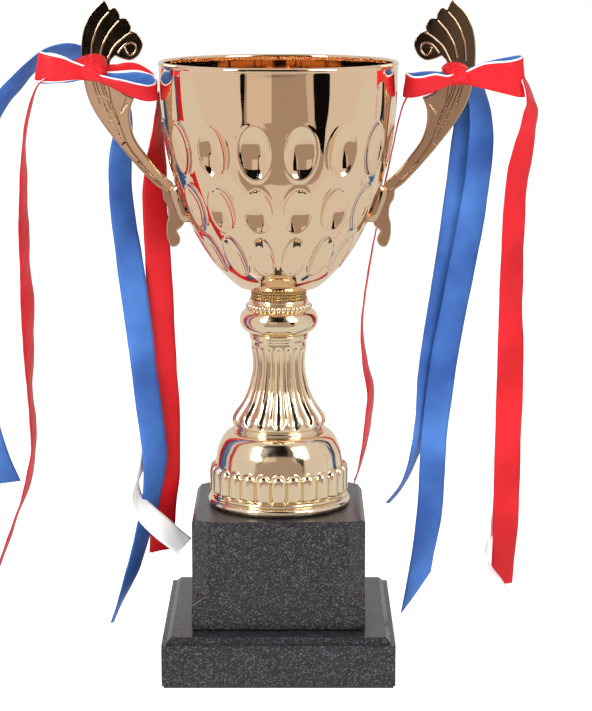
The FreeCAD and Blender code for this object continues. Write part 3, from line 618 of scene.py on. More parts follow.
def handle_relief(points, edge_gap):
    """Height of the plate's face above its middle plane at each point of the outline."""
    height = np.full(len(points), HALF_PLATE)
    crest = smooth_step(258.0, 266.0, points[:, 1])
    height -= crest * (0.35 + 0.034 * np.clip(points[:, 1] - 264.0, 0, None))
    for rib in CREST_RIBS:
        gap, _ = distance_to(resample(rib, 0.5), points)
        height += RIB_RISE * np.exp(-(gap / RIB_HALF_WIDTH) ** 2) * smooth_step(255.0, 261.0, points[:, 1])
    for line in ARM_LINES:
        gap, share = distance_to(resample(line, 0.5), points)
        fade = smooth_step(0.0, 0.12, 1 - share)
        height -= LINE_DEPTH * np.exp(-(gap / LINE_HALF_WIDTH) ** 2) * fade
    long_line = resample(ARM_LINES[3], 0.5)
    outward = points[:, 0] - np.interp(points[:, 1], long_line[::-1, 1], long_line[::-1, 0])
    strip = smooth_step(0.1, 0.5, outward) * smooth_step(232.0, 228.0, points[:, 1])
    along = points @ ARM_SLOPE
    marks = [np.array((np.interp(z, long_line[::-1, 1], long_line[::-1, 0]), z)) @ ARM_SLOPE
             for z in ARM_STEPS]
    for start, end in zip(marks, marks[1:] + [marks[-1] - 4.0]):
        piece = smooth_step(end, end + 0.35, along) * smooth_step(start + 0.01, start - 0.35, along)
        taper = np.clip((along - end) / (start - end), 0, 1)
        height += strip * piece * (0.04 + 0.20 * taper)
    round_radius = 0.8 - 0.58 * crest
    into = np.clip(round_radius - edge_gap, 0, None)
    height -= round_radius - np.sqrt(np.clip(round_radius ** 2 - into ** 2, 0, None))
    return np.clip(height, 0.2, HALF_PLATE + 0.5)


def beside(line, spacing, offsets):
    """Points at the given distances to either side of a line."""
    line = resample(line, spacing)
    tangent = unit(np.gradient(line, axis=0))
    normal = np.stack([-tangent[:, 1], tangent[:, 0]], -1)
    return np.vstack([line + normal * offset for offset in offsets])


def make_handle(name, side, node):
    """The cast plate with its relief on both faces, and the pad that lies on the bowl's wall."""
    outline = spline_loop(HANDLE_OUTLINE, 0.45)
    count = len(outline)
    around = np.vstack([outline, outline[:1]])
    low, high = outline.min(axis=0), outline.max(axis=0)
    columns = np.arange(low[0], high[0], GRID_STEP)
    rows = np.arange(low[1], high[1], GRID_STEP)
    grid = np.array([(x + (i % 2) * GRID_STEP / 2, z) for i, z in enumerate(rows) for x in columns])
    for line in CREST_RIBS + ARM_LINES:
        gap, _ = distance_to(line, grid)
        grid = np.vstack([grid[gap > 0.5], beside(line, 0.28, RELIEF_OFFSETS)])
    grid = grid[inside_outline(grid, outline)]
    gap, _ = distance_to(around, grid)
    grid = grid[gap > 0.95]
    tangent = unit(np.roll(outline, -1, axis=0) - np.roll(outline, 1, axis=0))
    inward = np.stack([tangent[:, 1], -tangent[:, 0]], -1)
    rings = []
    for inset in (0.10, 0.28, 0.52, 0.80):
        ring = outline + inward * inset
        gap, _ = distance_to(around, ring)
        rings.append(ring[inside_outline(ring, outline) & (gap > inset * 0.93)])
    points = np.vstack([outline] + rings + [grid])
    edges = [(i, (i + 1) % count) for i in range(count)]
    flat, _, triangles, *_ = geometry.delaunay_2d_cdt(
        [Vector(p) for p in points], edges, [list(range(count))], 1, 1e-5)
    flat = np.array([tuple(v) for v in flat])
    triangles = np.array([list(t) for t in triangles if len(t) == 3])
    a, b, c = (flat[triangles[:, k]] for k in range(3))
    turn = (b[:, 0] - a[:, 0]) * (c[:, 1] - a[:, 1]) - (b[:, 1] - a[:, 1]) * (c[:, 0] - a[:, 0])
    triangles[turn < 0] = triangles[turn < 0][:, ::-1]
    gap, _ = distance_to(around, flat)
    gap[:count] = 0.0
    height = handle_relief(flat, gap)
    front = np.stack([side * flat[:, 0], -height, flat[:, 1]], -1)
    back = np.stack([side * flat[:, 0], height, flat[:, 1]], -1)
    total = len(flat)
    wall = [(i, (i + 1) % count, total + (i + 1) % count, total + i) for i in range(count)]
    faces = [tuple(t) for t in triangles] + [tuple(t[::-1] + total) for t in triangles] + wall
    pad_points, pad_faces = foot_pad(side)
    faces += [tuple(v + 2 * total for v in face) for face in pad_faces]
    handle = new_object(name, np.vstack([front, back, pad_points]), faces)
    return dress(handle, HANDLE_GOLD, "gold", node)


PAD_MIDDLE = 202.5
PAD_LENGTH = 17.0
PAD_WIDTH = 9.0
PAD_DEPTH = 4.0


def foot_pad(side):
    """The points and faces of a cushion-shaped pad on the bowl's wall."""
    wall, along = bowl_profile(0.5)
    middle = np.interp(PAD_MIDDLE, wall[:, 1], along)
    rows, columns = 21, 15
    points = []
    for layer in (0, 1):
        for v in np.linspace(-1, 1, rows):
            for u in np.linspace(-1, 1, columns):
                place = middle + v * PAD_LENGTH / 2
                r = np.interp(place, along, wall[:, 0])
                z = np.interp(place, along, wall[:, 1])
                ahead = np.array((np.interp(place + 0.2, along, wall[:, 0]) - r,
                                  np.interp(place + 0.2, along, wall[:, 1]) - z))
                ahead /= np.hypot(*ahead)
                crown = (1 - abs(u) ** 4) * (1 - abs(v) ** 5)
                rise = layer * (PAD_DEPTH * crown ** 0.35 + 0.05) + 0.03
                y = u * PAD_WIDTH / 2 * (1 - 0.25 * abs(v) ** 3)
                sag = r - math.sqrt(r * r - y * y)
                points.append((side * (r - sag + ahead[1] * rise), y, z - ahead[0] * rise))
    return np.array(points), closed_sheet(rows, columns)


make_handle("handle_plate_left", -1, "handle_left")
make_handle("handle_plate_right", 1, "handle_right")


# ---- plinth and fittings ---------------------------------------------------------------------

EDGE_ROUNDING = 0.7


def soften(name, node, width):
    """The CAD node's own faces with every sharp edge moulded round."""
    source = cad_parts[node].data
    work = bmesh.new()
    work.from_mesh(source)
    bmesh.ops.remove_doubles(work, verts=work.verts, dist=1e-6)
    bmesh.ops.dissolve_limit(work, angle_limit=math.radians(1.0), verts=work.verts, edges=work.edges)
    sharp = [edge for edge in work.edges
             if len(edge.link_faces) == 2 and edge.calc_face_angle() > math.radians(25)]
    bmesh.ops.bevel(work, geom=sharp, offset=width * MM, segments=3, profile=0.5, affect="EDGES",
                    clamp_overlap=True)
    mesh = bpy.data.meshes.new(name)
    work.to_mesh(mesh)
    work.free()
    thing = in_scene(name, mesh)
    mesh.polygons.foreach_set("use_smooth", [True] * len(mesh.polygons))
    keep_flat = thing.modifiers.new("even_shading", "WEIGHTED_NORMAL")
    keep_flat.keep_sharp = False
    keep_flat.weight = 100
    return thing


FINISHES = {
    "tie_rod": STEEL, "rod_nut": STEEL, "block_washer": STEEL, "bowl_washer": STEEL,
    "rod_cap_nut": DEEP_GOLD, "handle_screws": STEEL, "handle_washers": STEEL,
    "base_screws": STEEL, "weight_screws": STEEL, "board_screws": STEEL,
    "base_weight": PRIMER, "bottom_board": BOARD, "base_felt": FELT,
}


def finish_fittings():
    """Gives the CAD nodes that stay their finished materials."""
    for node, material in FINISHES.items():
        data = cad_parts[node].data
        if not data.materials:
            data.materials.append(material)
        for index in range(len(data.materials)):
            data.materials[index] = material


dress(soften("plinth_upper", "plinth_block", EDGE_ROUNDING), BLACK, "black_plastic", "plinth_block")
dress(soften("plinth_lower", "plinth_base", EDGE_ROUNDING), BLACK, "black_plastic", "plinth_base")
finish_fittings()


# ---- ribbons ---------------------------------------------------------------------------------

RIBBON_WIDTH = 12.0
RIBBON_THICKNESS = 0.26
RIBBON_SPACING = 1.1
ACROSS = 9
# Each loop's stations: the low edge's x, depth and height, then the high edge's, from the knot
# round the far end and back. In each colour the back leaf's high edge rises by its own amount, and
# the low edge can drop.
LOOPS = {
    "left": [{
        "front": [
            (-81, -6.5, 255.6, -82, -8.5, 261.4), (-86.6, -9.5, 256.2, -86.8, -11, 263.4),
            (-91, -11, 255.8, -90.6, -11.5, 265.1), (-96.4, -11, 255.6, -96, -11, 266.3),
            (-101.4, -9, 255.8, -100, -9, 267.2)],
        "tip": [(-103.6, -6.5, 256, -101.6, -6.5, 267.6)],
        "back": [
            (-102.2, -4.4, 256.4, -100.4, -4.4, 266.8), (-97, -3.4, 256.4, -96.6, -3.4, 266.2),
            (-91, -3.2, 256.2, -91, -3.2, 264.4), (-86.6, -3.6, 256.4, -86.4, -3.8, 262),
            (-82.5, -4.6, 256.6, -82.6, -5, 260.6)],
        "rise": {"red": -0.8, "white": 1.2, "blue": -1}, "drop": {"white": 0.9, "blue": 1.7},
    }, {
        "front": [
            (-75, -6, 254.3, -76.4, -9, 257.6), (-72.6, -6.8, 253.6, -73, -11, 257),
            (-69.4, -6.6, 251.9, -69, -12.8, 256.2), (-64.6, -6.2, 249.5, -64.4, -13.8, 255.4),
            (-59.8, -6, 247.7, -59.6, -13.6, 254.2), (-55.4, -6, 246.8, -55, -12, 253.3)],
        "tip": [(-52, -5.6, 247.2, -51.9, -8.8, 254.2), (-51.9, -4.6, 248.2, -51.7, -5.6, 256.2)],
        "back": [
            (-54.6, -3.6, 248.6, -54.4, -3.6, 258), (-60, -3, 249, -60, -3.2, 259.1),
            (-65, -3.2, 250, -65, -3.4, 258.9), (-70, -3.6, 252.4, -70, -3.8, 258.7),
            (-75.5, -4.6, 255.6, -75.5, -5, 259.2)],
        "rise": {"red": 4.2, "white": 0.9, "blue": 0},
    }],
    "right": [{
        "front": [
            (76.4, -6.5, 254, 76, -8.5, 258.4), (72, -7.8, 253.4, 71.6, -10.2, 257.4),
            (66.6, -8, 251.1, 66.4, -11.6, 258.2), (61.2, -7.6, 249.3, 61, -12.4, 257.2),
            (57, -7.4, 248.5, 57.4, -11.6, 257)],
        "tip": [(53.6, -6.4, 248.6, 54.6, -9, 258), (53.2, -5, 249.4, 54.4, -6, 258.6)],
        "back": [
            (56, -3.8, 249.6, 57.4, -4, 258.8), (61.6, -3.2, 250.2, 62, -3.4, 259.3),
            (67, -3.2, 251.8, 67, -3.4, 259.3), (72, -4, 254, 72, -4.4, 258.6),
            (76.4, -4.8, 255, 76.4, -5.2, 258.8)],
        "rise": {"red": -0.6, "white": -0.2, "blue": 0.1},
    }, {
        "front": [
            (79.6, -6.5, 254.2, 79.4, -8.5, 259), (84.4, -9.5, 253.1, 84.2, -11, 261.6),
            (88, -10.8, 252.3, 87.6, -11.8, 262.8), (92.4, -11.4, 251.2, 92, -12, 263.3),
            (97.2, -11, 250, 97, -11.4, 263.6), (102.2, -9.4, 248.8, 101.2, -9.6, 264.3)],
        "tip": [(105.4, -6.6, 249, 103.8, -6.6, 265.2)],
        "back": [
            (103.8, -4.2, 252, 102.4, -4.2, 266.2), (97.4, -3.2, 253, 97.4, -3.2, 265.3),
            (92.4, -3, 253.6, 92.4, -3, 264.3), (86.6, -3.4, 254.6, 86.6, -3.6, 262.8),
            (81, -4.6, 255.6, 81, -5, 260.8)],
        "rise": {"red": -0.8, "white": -0.3, "blue": 0.1},
    }],
}
# Each tail's line: x, height, depth, and how far the ribbon is turned from facing the front, in
# degrees. A cut gives how much further than the last point the left and right edges run. A tail
# that lies behind another follows it down to a height, and then its own points.
TAILS = {
    "left": {
        "red": [{
            "line": [
                (-98.5, 257, -5.4, 91), (-102.2, 254.2, -5.4, 93), (-104.8, 248.4, -5.4, 92),
                (-107.6, 236.8, -5.6, 88), (-109.1, 221.8, -5.8, 86), (-109.6, 208, -5.9, 83),
                (-109.7, 191.6, -6, 76), (-108.9, 161, -6, 70), (-108.8, 143.4, -6, 75),
                (-108.3, 122.6, -6.2, 82), (-107.6, 109.2, -6.2, 85), (-107.4, 97.1, -6, 87),
                (-109.4, 84.5, -6, 84), (-112, 73.6, -6, 82), (-115.6, 64.5, -6.2, 84),
                (-119.6, 53.6, -6.4, 86), (-123.4, 43.5, -6.6, 88)],
            "cut": (0, 3),
        }, {
            "line": [
                (-51.6, 250, 6, 92), (-51.8, 245.5, 6.6, 88), (-52.2, 234.4, 7.6, 71),
                (-52.8, 224, 8.4, 53), (-54.1, 208.8, 9.4, 36), (-54.2, 199.7, 10.2, 32),
                (-53, 176.8, 11.4, 20), (-52.4, 159.1, 12, 18), (-51.8, 141.2, 12.4, 20),
                (-50.9, 125.5, 12.6, 22), (-50, 112, 12.4, 20), (-50.2, 81.6, 12, 18),
                (-51.4, 66.9, 11.8, 22), (-53, 44.5, 11.6, 30)],
            "cut": (1.2, -0.6), "threads": 3,
        }],
        "white": [{
            "behind": ("red", 0), "down_to": 88, "cut": (0, 2),
        }, {
            "then": [
                (-53.4, 110, 13, 34), (-56, 97, 12, 48), (-59.6, 87, 9, 70), (-62.8, 78.5, 3.4, 84),
                (-62.8, 71.6, -1.6, 66), (-59, 65.4, -2.8, 52), (-53.6, 59.8, -2.8, 48),
                (-47.6, 54.4, -2.4, 50), (-42.6, 50.2, -2, 54)],
            "behind": ("red", 1), "down_to": 124, "cut": (0, 1.5),
        }],
        "blue": [{
            "line": [
                (-77, 259.5, 7.6, 40), (-82, 263.6, 7.8, 42), (-89.9, 266.9, 7, 48),
                (-98.9, 265.4, 5.4, 56), (-105.8, 260.8, 4.4, 62), (-112.8, 254, 4, 62),
                (-119.8, 246, 4, 60), (-126, 234, 4.2, 52), (-130, 212, 4.4, 42), (-132, 180, 4.6, 34),
                (-132.2, 150, 4.6, 28), (-132, 125, 4.6, 24), (-129.6, 104, 4.6, 20),
                (-125.4, 88, 4.6, 16), (-121.4, 78, 4.6, 14)],
            "cut": (-1, 3),
        }, {
            "line": [
                (-75, 256, 4.4, 60), (-70.6, 251.4, 5.2, 62), (-67.6, 244.9, 5.8, 58), (-66.8, 238, 6, 52),
                (-67.4, 230.4, 6, 46), (-68.7, 220.8, 6, 42), (-68.7, 206.9, 6, 38), (-67.4, 192.9, 6, 32),
                (-65.8, 182.4, 6, 22), (-64.9, 174.1, 6, 18), (-63, 158.8, 6, 20), (-60.4, 136.8, 6, 24),
                (-58, 114.7, 5.8, 26), (-56, 98.4, 5.6, 28), (-55.2, 87, 5.4, 34), (-56.6, 71, 5.4, 46),
                (-62.6, 47, 5.6, 60), (-69.3, 26.5, 5.8, 70), (-74.6, 13.4, 6, 82)],
            "cut": (0, 2.6),
        }],
    },
    "right": {
        "red": [{
            "line": [
                (104.4, 256.4, -5, 80), (106.2, 252.4, -5, 77), (107.5, 246.6, -5.2, 71),
                (107.7, 242.4, -5.2, 57), (106.6, 235.3, -5.4, 51), (105.2, 228.4, -5.6, 42),
                (103.8, 221.4, -5.8, 35), (102.6, 214.4, -6, 31), (101.4, 200.4, -6, 33),
                (100.8, 181.8, -6, 34), (100.6, 160.7, -6, 26), (100.8, 136.4, -6, 16),
                (100.6, 114.1, -6, 12), (100.3, 93.9, -6, 12), (100, 71.3, -6, 16), (99.5, 50.8, -6, 22),
                (98.4, 33.8, -6, 30)],
            "cut": (0, 0.4),
        }, {
            "line": [
                (56.4, 249.6, 9, 82), (52.6, 240, 12, 86), (47.6, 215.8, 14, 87), (43, 192, 14, 87),
                (40.2, 176.2, 14, 85), (37.6, 158, 14, 84), (36.6, 144.1, 14, 84), (38.4, 128, 14, 78),
                (40.7, 116.6, 14, 74), (39.8, 104, 14, 72), (38.2, 92.5, 14, 76), (35.8, 82, 14.2, 82),
                (33.6, 75.5, 14.4, 86)],
            "cut": (0, 1), "ripple": 0.15,
        }],
        "white": [{
            "then": [
                (100.4, 80, -4.6, 16), (99.4, 70, -3.6, 27), (97, 63, -2.4, 48), (94.4, 56.5, -2.6, 72),
                (91.8, 49, -7.4, 86), (92.4, 42.3, -15.2, 76), (95.6, 36.2, -15.8, 66),
                (98.8, 30.6, -15.8, 62)],
            "behind": ("red", 0), "down_to": 90, "cut": (0, 1),
        }, {
            "behind": ("blue", 1), "down_to": 100, "cut": (0, 2),
        }],
        "blue": [{
            "line": [
                (82.6, 255, 4.6, 40), (85.6, 247.5, 5.2, 46), (87.2, 239, 5.6, 36), (87.6, 229.2, 6, 24),
                (86.2, 211, 6, 18), (83, 190, 6, 16), (79.8, 172.5, 6, 14), (76.6, 154, 6, 12),
                (73.4, 136.8, 6, 12), (70.2, 112, 6, 12), (68.4, 91.6, 6, 14), (67.4, 68.7, 6, 18),
                (65.6, 52, 6, 22), (63, 36, 6, 30)],
            "cut": (20, 0),
        }, {
            "line": [
                (80.6, 254.4, 7.4, 20), (82.2, 244, 7.6, 12), (81.8, 236, 7.8, 8), (80.2, 224, 7.8, 8),
                (78.8, 211, 7.8, 8), (77.4, 199.8, 7.8, 8), (75, 181, 7.8, 10), (70.6, 152.5, 7.8, 16),
                (66.8, 128, 7.8, 28), (64.6, 110, 7.6, 44), (61.2, 93, 7.4, 62), (57.2, 80.5, 7.2, 72),
                (53, 73, 7.2, 76), (48.6, 67.6, 7.4, 74)],
            "cut": (0, 1),
        }],
    },
}
# How far each colour lies inside the red loop, how far a hidden tail lies behind the one in front,
# and how much of each colour shows above the red loop's edge.
LAYER_INSET = {"red": 0.0, "white": 0.45, "blue": 0.9}
LAYER_GAP = 0.5
RIM_SHOWS = {"red": 0.0, "white": 0.75, "blue": 0.1}


def band_skin(stations, crown, ripple, seed):
    """A thin closed ribbon along stations of low and high edge points, given in millimetres.

    crown bows the ribbon across its width and ripple makes it wave slightly along its length.
    """
    rows = resample(stations, RIBBON_SPACING)
    low, high = rows[:, :3], rows[:, 3:]
    middle = (low + high) / 2
    travelled = travel(middle)
    width = high - low
    normal = unit(np.cross(np.gradient(middle, axis=0), width))
    share = np.linspace(0, 1, ACROSS)
    sway = ripple * (np.sin(travelled / 9.0 + seed) * 0.6 + np.sin(travelled / 4.3 + 2.1 * seed) * 0.4)
    fade = smooth_step(0.0, 14.0, travelled)
    points = low[:, None] + width[:, None] * share[None, :, None]
    across = (share * 2 - 1)[None, :]
    curl = (crown * (1 - across ** 2) + sway[:, None] * fade[:, None] * (0.35 + 0.65 * across)
            + 0.05 * np.sin(travelled[:, None] / 1.7 + 5.0 * across + seed))
    points = points + curl[:, :, None] * normal[:, None]
    half = RIBBON_THICKNESS / 2
    front = points + normal[:, None] * half
    back = points - normal[:, None] * half
    flat = np.stack(np.broadcast_arrays(travelled[:, None], (across + 1) / 2 * RIBBON_WIDTH), -1)
    flat = np.concatenate([flat.reshape(-1, 2)] * 2)
    skin = np.concatenate([front.reshape(-1, 3), back.reshape(-1, 3)])
    return skin, closed_sheet(len(rows), ACROSS), flat, travelled[-1]


def tail_line(side, tail):
    """A tail's own line, or for a layer the line of the tail it lies behind, moved back a little."""
    if "line" in tail:
        return tail["line"]
    colour, number = tail["behind"]
    line = []
    for x, z, y, turn in TAILS[side][colour][number]["line"]:
        if z > tail["down_to"]:
            angle = math.radians(turn)
            line.append((x - LAYER_GAP * math.sin(angle), z, y + LAYER_GAP * math.cos(angle), turn))
    return line + tail.get("then", [])


def tail_stations(side, tail):
    """Edge points of a hanging tail from its line of x, height, depth and turn."""
    line = resample(tail_line(side, tail), 4.0)
    centre = line[:, [0, 2, 1]]
    along = np.gradient(centre, axis=0)
    along[:, 1] = 0
    along = unit(along)
    level = np.stack([-along[:, 2], 0 * along[:, 0], along[:, 0]], -1)
    turn = np.radians(line[:, 3])[:, None]
    across = level * np.cos(turn) + np.array((0, 1, 0)) * np.sin(turn)
    half = RIBBON_WIDTH / 2
    low, high = centre - across * half, centre + across * half
    stations = np.hstack([low, high])
    left_cut, right_cut = tail["cut"]
    reach = max(abs(left_cut), abs(right_cut))
    steps = max(2, int(round(reach / 3.0)))
    run_on = np.hstack([along[-1] * left_cut, along[-1] * right_cut])
    ends = [stations[-1] + run_on * number / steps for number in range(1, steps + 1)]
    return np.vstack([stations] + ends)


def loop_stations(loop, colour):
    """Edge points of one colour's layer of a loop: inside the red, with its own edge heights."""
    inset = LAYER_INSET[colour]
    rim = RIM_SHOWS[colour]
    front = np.array(loop["front"], float)
    tip = np.array(loop["tip"], float)
    back = np.array(loop["back"], float)
    knot_side = math.copysign(1.0, front[0, 0] - tip[0, 0])
    front[:, [1, 4]] += inset
    front[:, 5] += rim
    tip[:, [0, 3]] += knot_side * inset
    tip[:, 5] += rim
    back[:, [1, 4]] -= inset
    swell = np.sin(np.linspace(0.35, math.pi * 0.92, len(back)))
    back[:, 5] += loop["rise"][colour] * swell
    lowered = loop.get("drop", {}).get(colour, 0.0)
    back[:, 2] -= lowered * swell
    tip[:, 2] -= lowered * 0.8
    front[:, 2] -= lowered * 0.8 * np.linspace(0, 1, len(front))
    return np.vstack([front, tip, back])


def threads_of(stations, count):
    """A few loose threads at a frayed end, as thin strips."""
    low, high = stations[-1, :3], stations[-1, 3:]
    strands = []
    for number in range(count):
        root = low + (high - low) * (0.12 + 0.16 * number)
        bend = 1.0 + number
        path = root + np.array([(0.35 * bend * t * t, 0.3 * t, -2.6 * t) for t in range(5)])
        strands.append(np.hstack([path, path + np.array((0.22, 0.05, 0.0))]))
    return strands


def lay_flat(thing, flat):
    """Maps a sheet by where each of its points, in millimetres, is when it is laid flat."""
    layer = thing.data.uv_layers.new(name="laid_flat")
    corners = np.empty(len(thing.data.loops), int)
    thing.data.loops.foreach_get("vertex_index", corners)
    layer.data.foreach_set("uv", (flat * MM)[corners].ravel())


def make_ribbon(side, colour):
    """One colour of a bow: both loops and both tails of the same length of ribbon."""
    parts = [(loop_stations(loop, colour), 0.0, 0.05) for loop in LOOPS[side]]
    for tail in TAILS[side][colour]:
        stations = tail_stations(side, tail)
        parts.append((stations, 0.45, tail.get("ripple", 0.7)))
        parts += [(strand, 0.0, 0.0) for strand in threads_of(stations, tail.get("threads", 0))]
    points, faces, flat = [], [], []
    total = 0
    for order, (stations, crown, ripple) in enumerate(parts):
        skin, quads, laid, run = band_skin(stations, crown, ripple, 4.1 * (side == "right") + 0.9 * order)
        faces += [tuple(v + total for v in face) for face in quads]
        points.append(skin)
        flat.append(laid)
        total += len(skin)
    ribbon = new_object(f"{side}_satin_{colour}", np.concatenate(points), faces)
    lay_flat(ribbon, np.concatenate(flat))
    dress(ribbon, SATIN[colour], f"ribbon_{colour}", f"{side}_ribbon_{colour}")


# A knot seen from the front: its outline, its folds as lines with a depth and a half width, and its
# ledges: lines above which the ribbon drops back under the turn below, and over what reach.
KNOTS = {
    "left": {
        "outline": [(-87.2, 264.0), (-84.2, 265.4), (-80.6, 266.6), (-77.2, 266.8), (-74.2, 265.6),
                    (-73.3, 263.6), (-72.6, 260.9), (-72.5, 257.6), (-73.0, 253.9), (-76.5, 254.7),
                    (-80.8, 255.3), (-84.4, 256.2), (-86.4, 258.2), (-87.6, 261.4)],
        "ledges": [([(-87.0, 262.6), (-83.6, 261.0), (-80.6, 262.8), (-77.4, 263.2), (-73.0, 263.6)],
                    1.7, 3.6)],
        "folds": [([(-83.4, 261.0), (-83.2, 263.6), (-84.4, 266.2)], 1.2, 0.7),
                  ([(-81.2, 262.4), (-80.4, 265.0), (-80.8, 267.8)], 1.0, 0.7),
                  ([(-78.0, 263.2), (-76.6, 265.0), (-75.6, 267.2)], 0.9, 0.7),
                  ([(-83.6, 260.4), (-79.0, 261.2), (-74.0, 260.4)], 0.7, 0.8),
                  ([(-86.6, 258.8), (-82.0, 259.4), (-77.6, 258.2), (-73.0, 257.2)], 0.7, 1.1)],
    },
    "right": {
        "outline": [(69.4, 260.8), (71.2, 262.6), (74.6, 263.4), (78.0, 262.8), (80.4, 261.6), (81.8, 259.4),
                    (83.2, 256.4), (82.9, 253.5), (80.0, 253.8), (76.6, 253.6), (73.2, 253.5),
                    (71.0, 255.2), (70.4, 257.2), (70.0, 259.2)],
        "ledges": [([(69.6, 256.6), (72.4, 257.0), (75.6, 259.5), (78.6, 261.4), (81.4, 262.4)], 1.7, 3.6)],
        "folds": [([(70.2, 260.0), (73.2, 260.0), (75.8, 262.6)], 1.1, 0.7),
                  ([(71.4, 262.6), (74.2, 261.8), (76.6, 263.6)], 0.8, 0.6),
                  ([(73.0, 257.6), (76.6, 259.6), (80.6, 261.4)], 0.7, 0.7),
                  ([(72.2, 255.8), (76.2, 257.2), (80.4, 259.8)], 0.7, 1.0),
                  ([(80.8, 261.2), (81.3, 257.4), (82.4, 253.4)], 1.3, 0.6)],
    },
}
KNOT_BACK = -2.2
KNOT_SWELL = 7.6
NECK_MIDDLE = 77.4
NECK_REACH = 8.2
NECK_DEPTH = 3.6
NECK_HALF_BAND = 3.0


def knot_skin(layout):
    """A closed lump of cloth with folds and ledges in its front."""
    outline = np.array(layout["outline"])
    outline = resample(np.vstack([outline, outline[:1]]), 0.36)[:-1]
    middle = outline.mean(axis=0)
    rings = np.sin(np.linspace(0.02, math.pi / 2, 44))
    flat = middle + rings[:, None, None] * (outline - middle)
    swell = np.sqrt(1 - np.clip(rings, 0, 1) ** 3.4)[:, None] * np.ones(len(outline))
    places = flat.reshape(-1, 2)
    sunk = np.zeros(len(places))
    for line, depth, half_width in layout["folds"]:
        gap, place = distance_to(line, places)
        fade = np.sin(math.pi * np.clip(place, 0.0, 1.0)) ** 0.5
        sunk += depth * np.exp(-(gap / half_width) ** 2) * fade
    for line, drop, reach in layout["ledges"]:
        gap, _ = distance_to(line, places)
        level = np.interp(places[:, 0], *np.array(line).T)
        above = places[:, 1] > level
        sunk += drop * np.where(above, np.exp(-gap / reach) * smooth_step(0.0, 0.35, gap), 0.0)
    sunk = sunk.reshape(swell.shape) * smooth_step(0.0, 0.5, swell)
    front = KNOT_BACK - KNOT_SWELL * swell + sunk
    back = np.full_like(swell, KNOT_BACK)[:-1]
    skins = [np.stack([flat[..., 0], front, flat[..., 1]], -1),
             np.stack([flat[:-1, :, 0], back, flat[:-1, :, 1]], -1)[::-1]]
    points = np.concatenate(skins)
    rows, columns = points.shape[:2]
    faces = [tuple(face) for face in grid_faces(rows, columns, wrap_columns=True)]
    faces.append(tuple(range(columns))[::-1])
    faces.append(tuple(range((rows - 1) * columns, rows * columns)))
    return points.reshape(-1, 3), faces


def neck_band(middle, height, seed):
    """A thick closed band that goes round the handle's neck behind the knot."""
    around = np.linspace(0, 2 * math.pi, 96, endpoint=False)
    across = np.linspace(-1, 1, 21)
    rows = []
    for layer, sweep in ((0.0, across), (-0.5, across[::-1])):
        for u in sweep:
            wrinkle = 0.09 * np.sin(4.5 * u + 1.3 * np.sin(around + seed))
            a = (NECK_REACH + layer + wrinkle) * np.sign(np.cos(around)) * abs(np.cos(around)) ** 0.64
            b = (NECK_DEPTH + layer + wrinkle) * np.sign(np.sin(around)) * abs(np.sin(around)) ** 0.64
            skew = 0.5 * np.sin(around + seed)
            rows.append(np.stack([middle + a, b, height + u * NECK_HALF_BAND + skew], -1))
    faces = grid_faces(len(rows), len(around), wrap_rows=True, wrap_columns=True)
    return np.array(rows).reshape(-1, 3), [tuple(face) for face in faces]


def make_knot(side, number):
    """The knot in front and the band that goes round the handle's neck behind it."""
    layout = KNOTS[side]
    sign = -1 if side == "left" else 1
    height = np.array(layout["outline"])[:, 1].mean() - 2.0
    front, front_faces = knot_skin(layout)
    neck, neck_faces = neck_band(sign * NECK_MIDDLE, height, 2.2 + number)
    points = np.concatenate([front, neck])
    faces = front_faces + [tuple(v + len(front) for v in face[::-1]) for face in neck_faces]
    knot = new_object(f"{side}_knot_wrap", points, faces)
    lay_flat(knot, points[:, [0, 2]])
    dress(knot, SATIN["red"], "ribbon_red", f"{side}_bow_knot")


for bow_number, bow_side in enumerate(KNOTS):
    make_knot(bow_side, bow_number)
    for ribbon_colour in SATIN:
        make_ribbon(bow_side, ribbon_colour)


# ---- camera, light and floor -----------------------------------------------------------------

CAMERA_PLACE = (0.0075, -0.9977, 0.3252)
CAMERA_PITCH = 79.23
CAMERA_LENS = 117.5


def make_camera():
    data = bpy.data.cameras.new("camera")
    data.lens = CAMERA_LENS
    data.sensor_width = 36.0
    camera = in_scene("camera", data)
    camera.location = CAMERA_PLACE
    camera.rotation_euler = (math.radians(CAMERA_PITCH), 0, 0)
    bpy.context.scene.camera = camera


def area_light(name, place, target, size, power):
    data = bpy.data.lights.new(name, "AREA")
    data.shape = "RECTANGLE"
    data.size, data.size_y = size
    data.energy = power
    light = in_scene(name, data)
    light.location = place
    aim = Vector(target) - Vector(place)
    light.rotation_euler = aim.to_track_quat("-Z", "Y").to_euler()


PANEL_DEPTH = 0.27
LAYER_STEP = 0.002
WARM = (1.0, 0.90, 0.82)
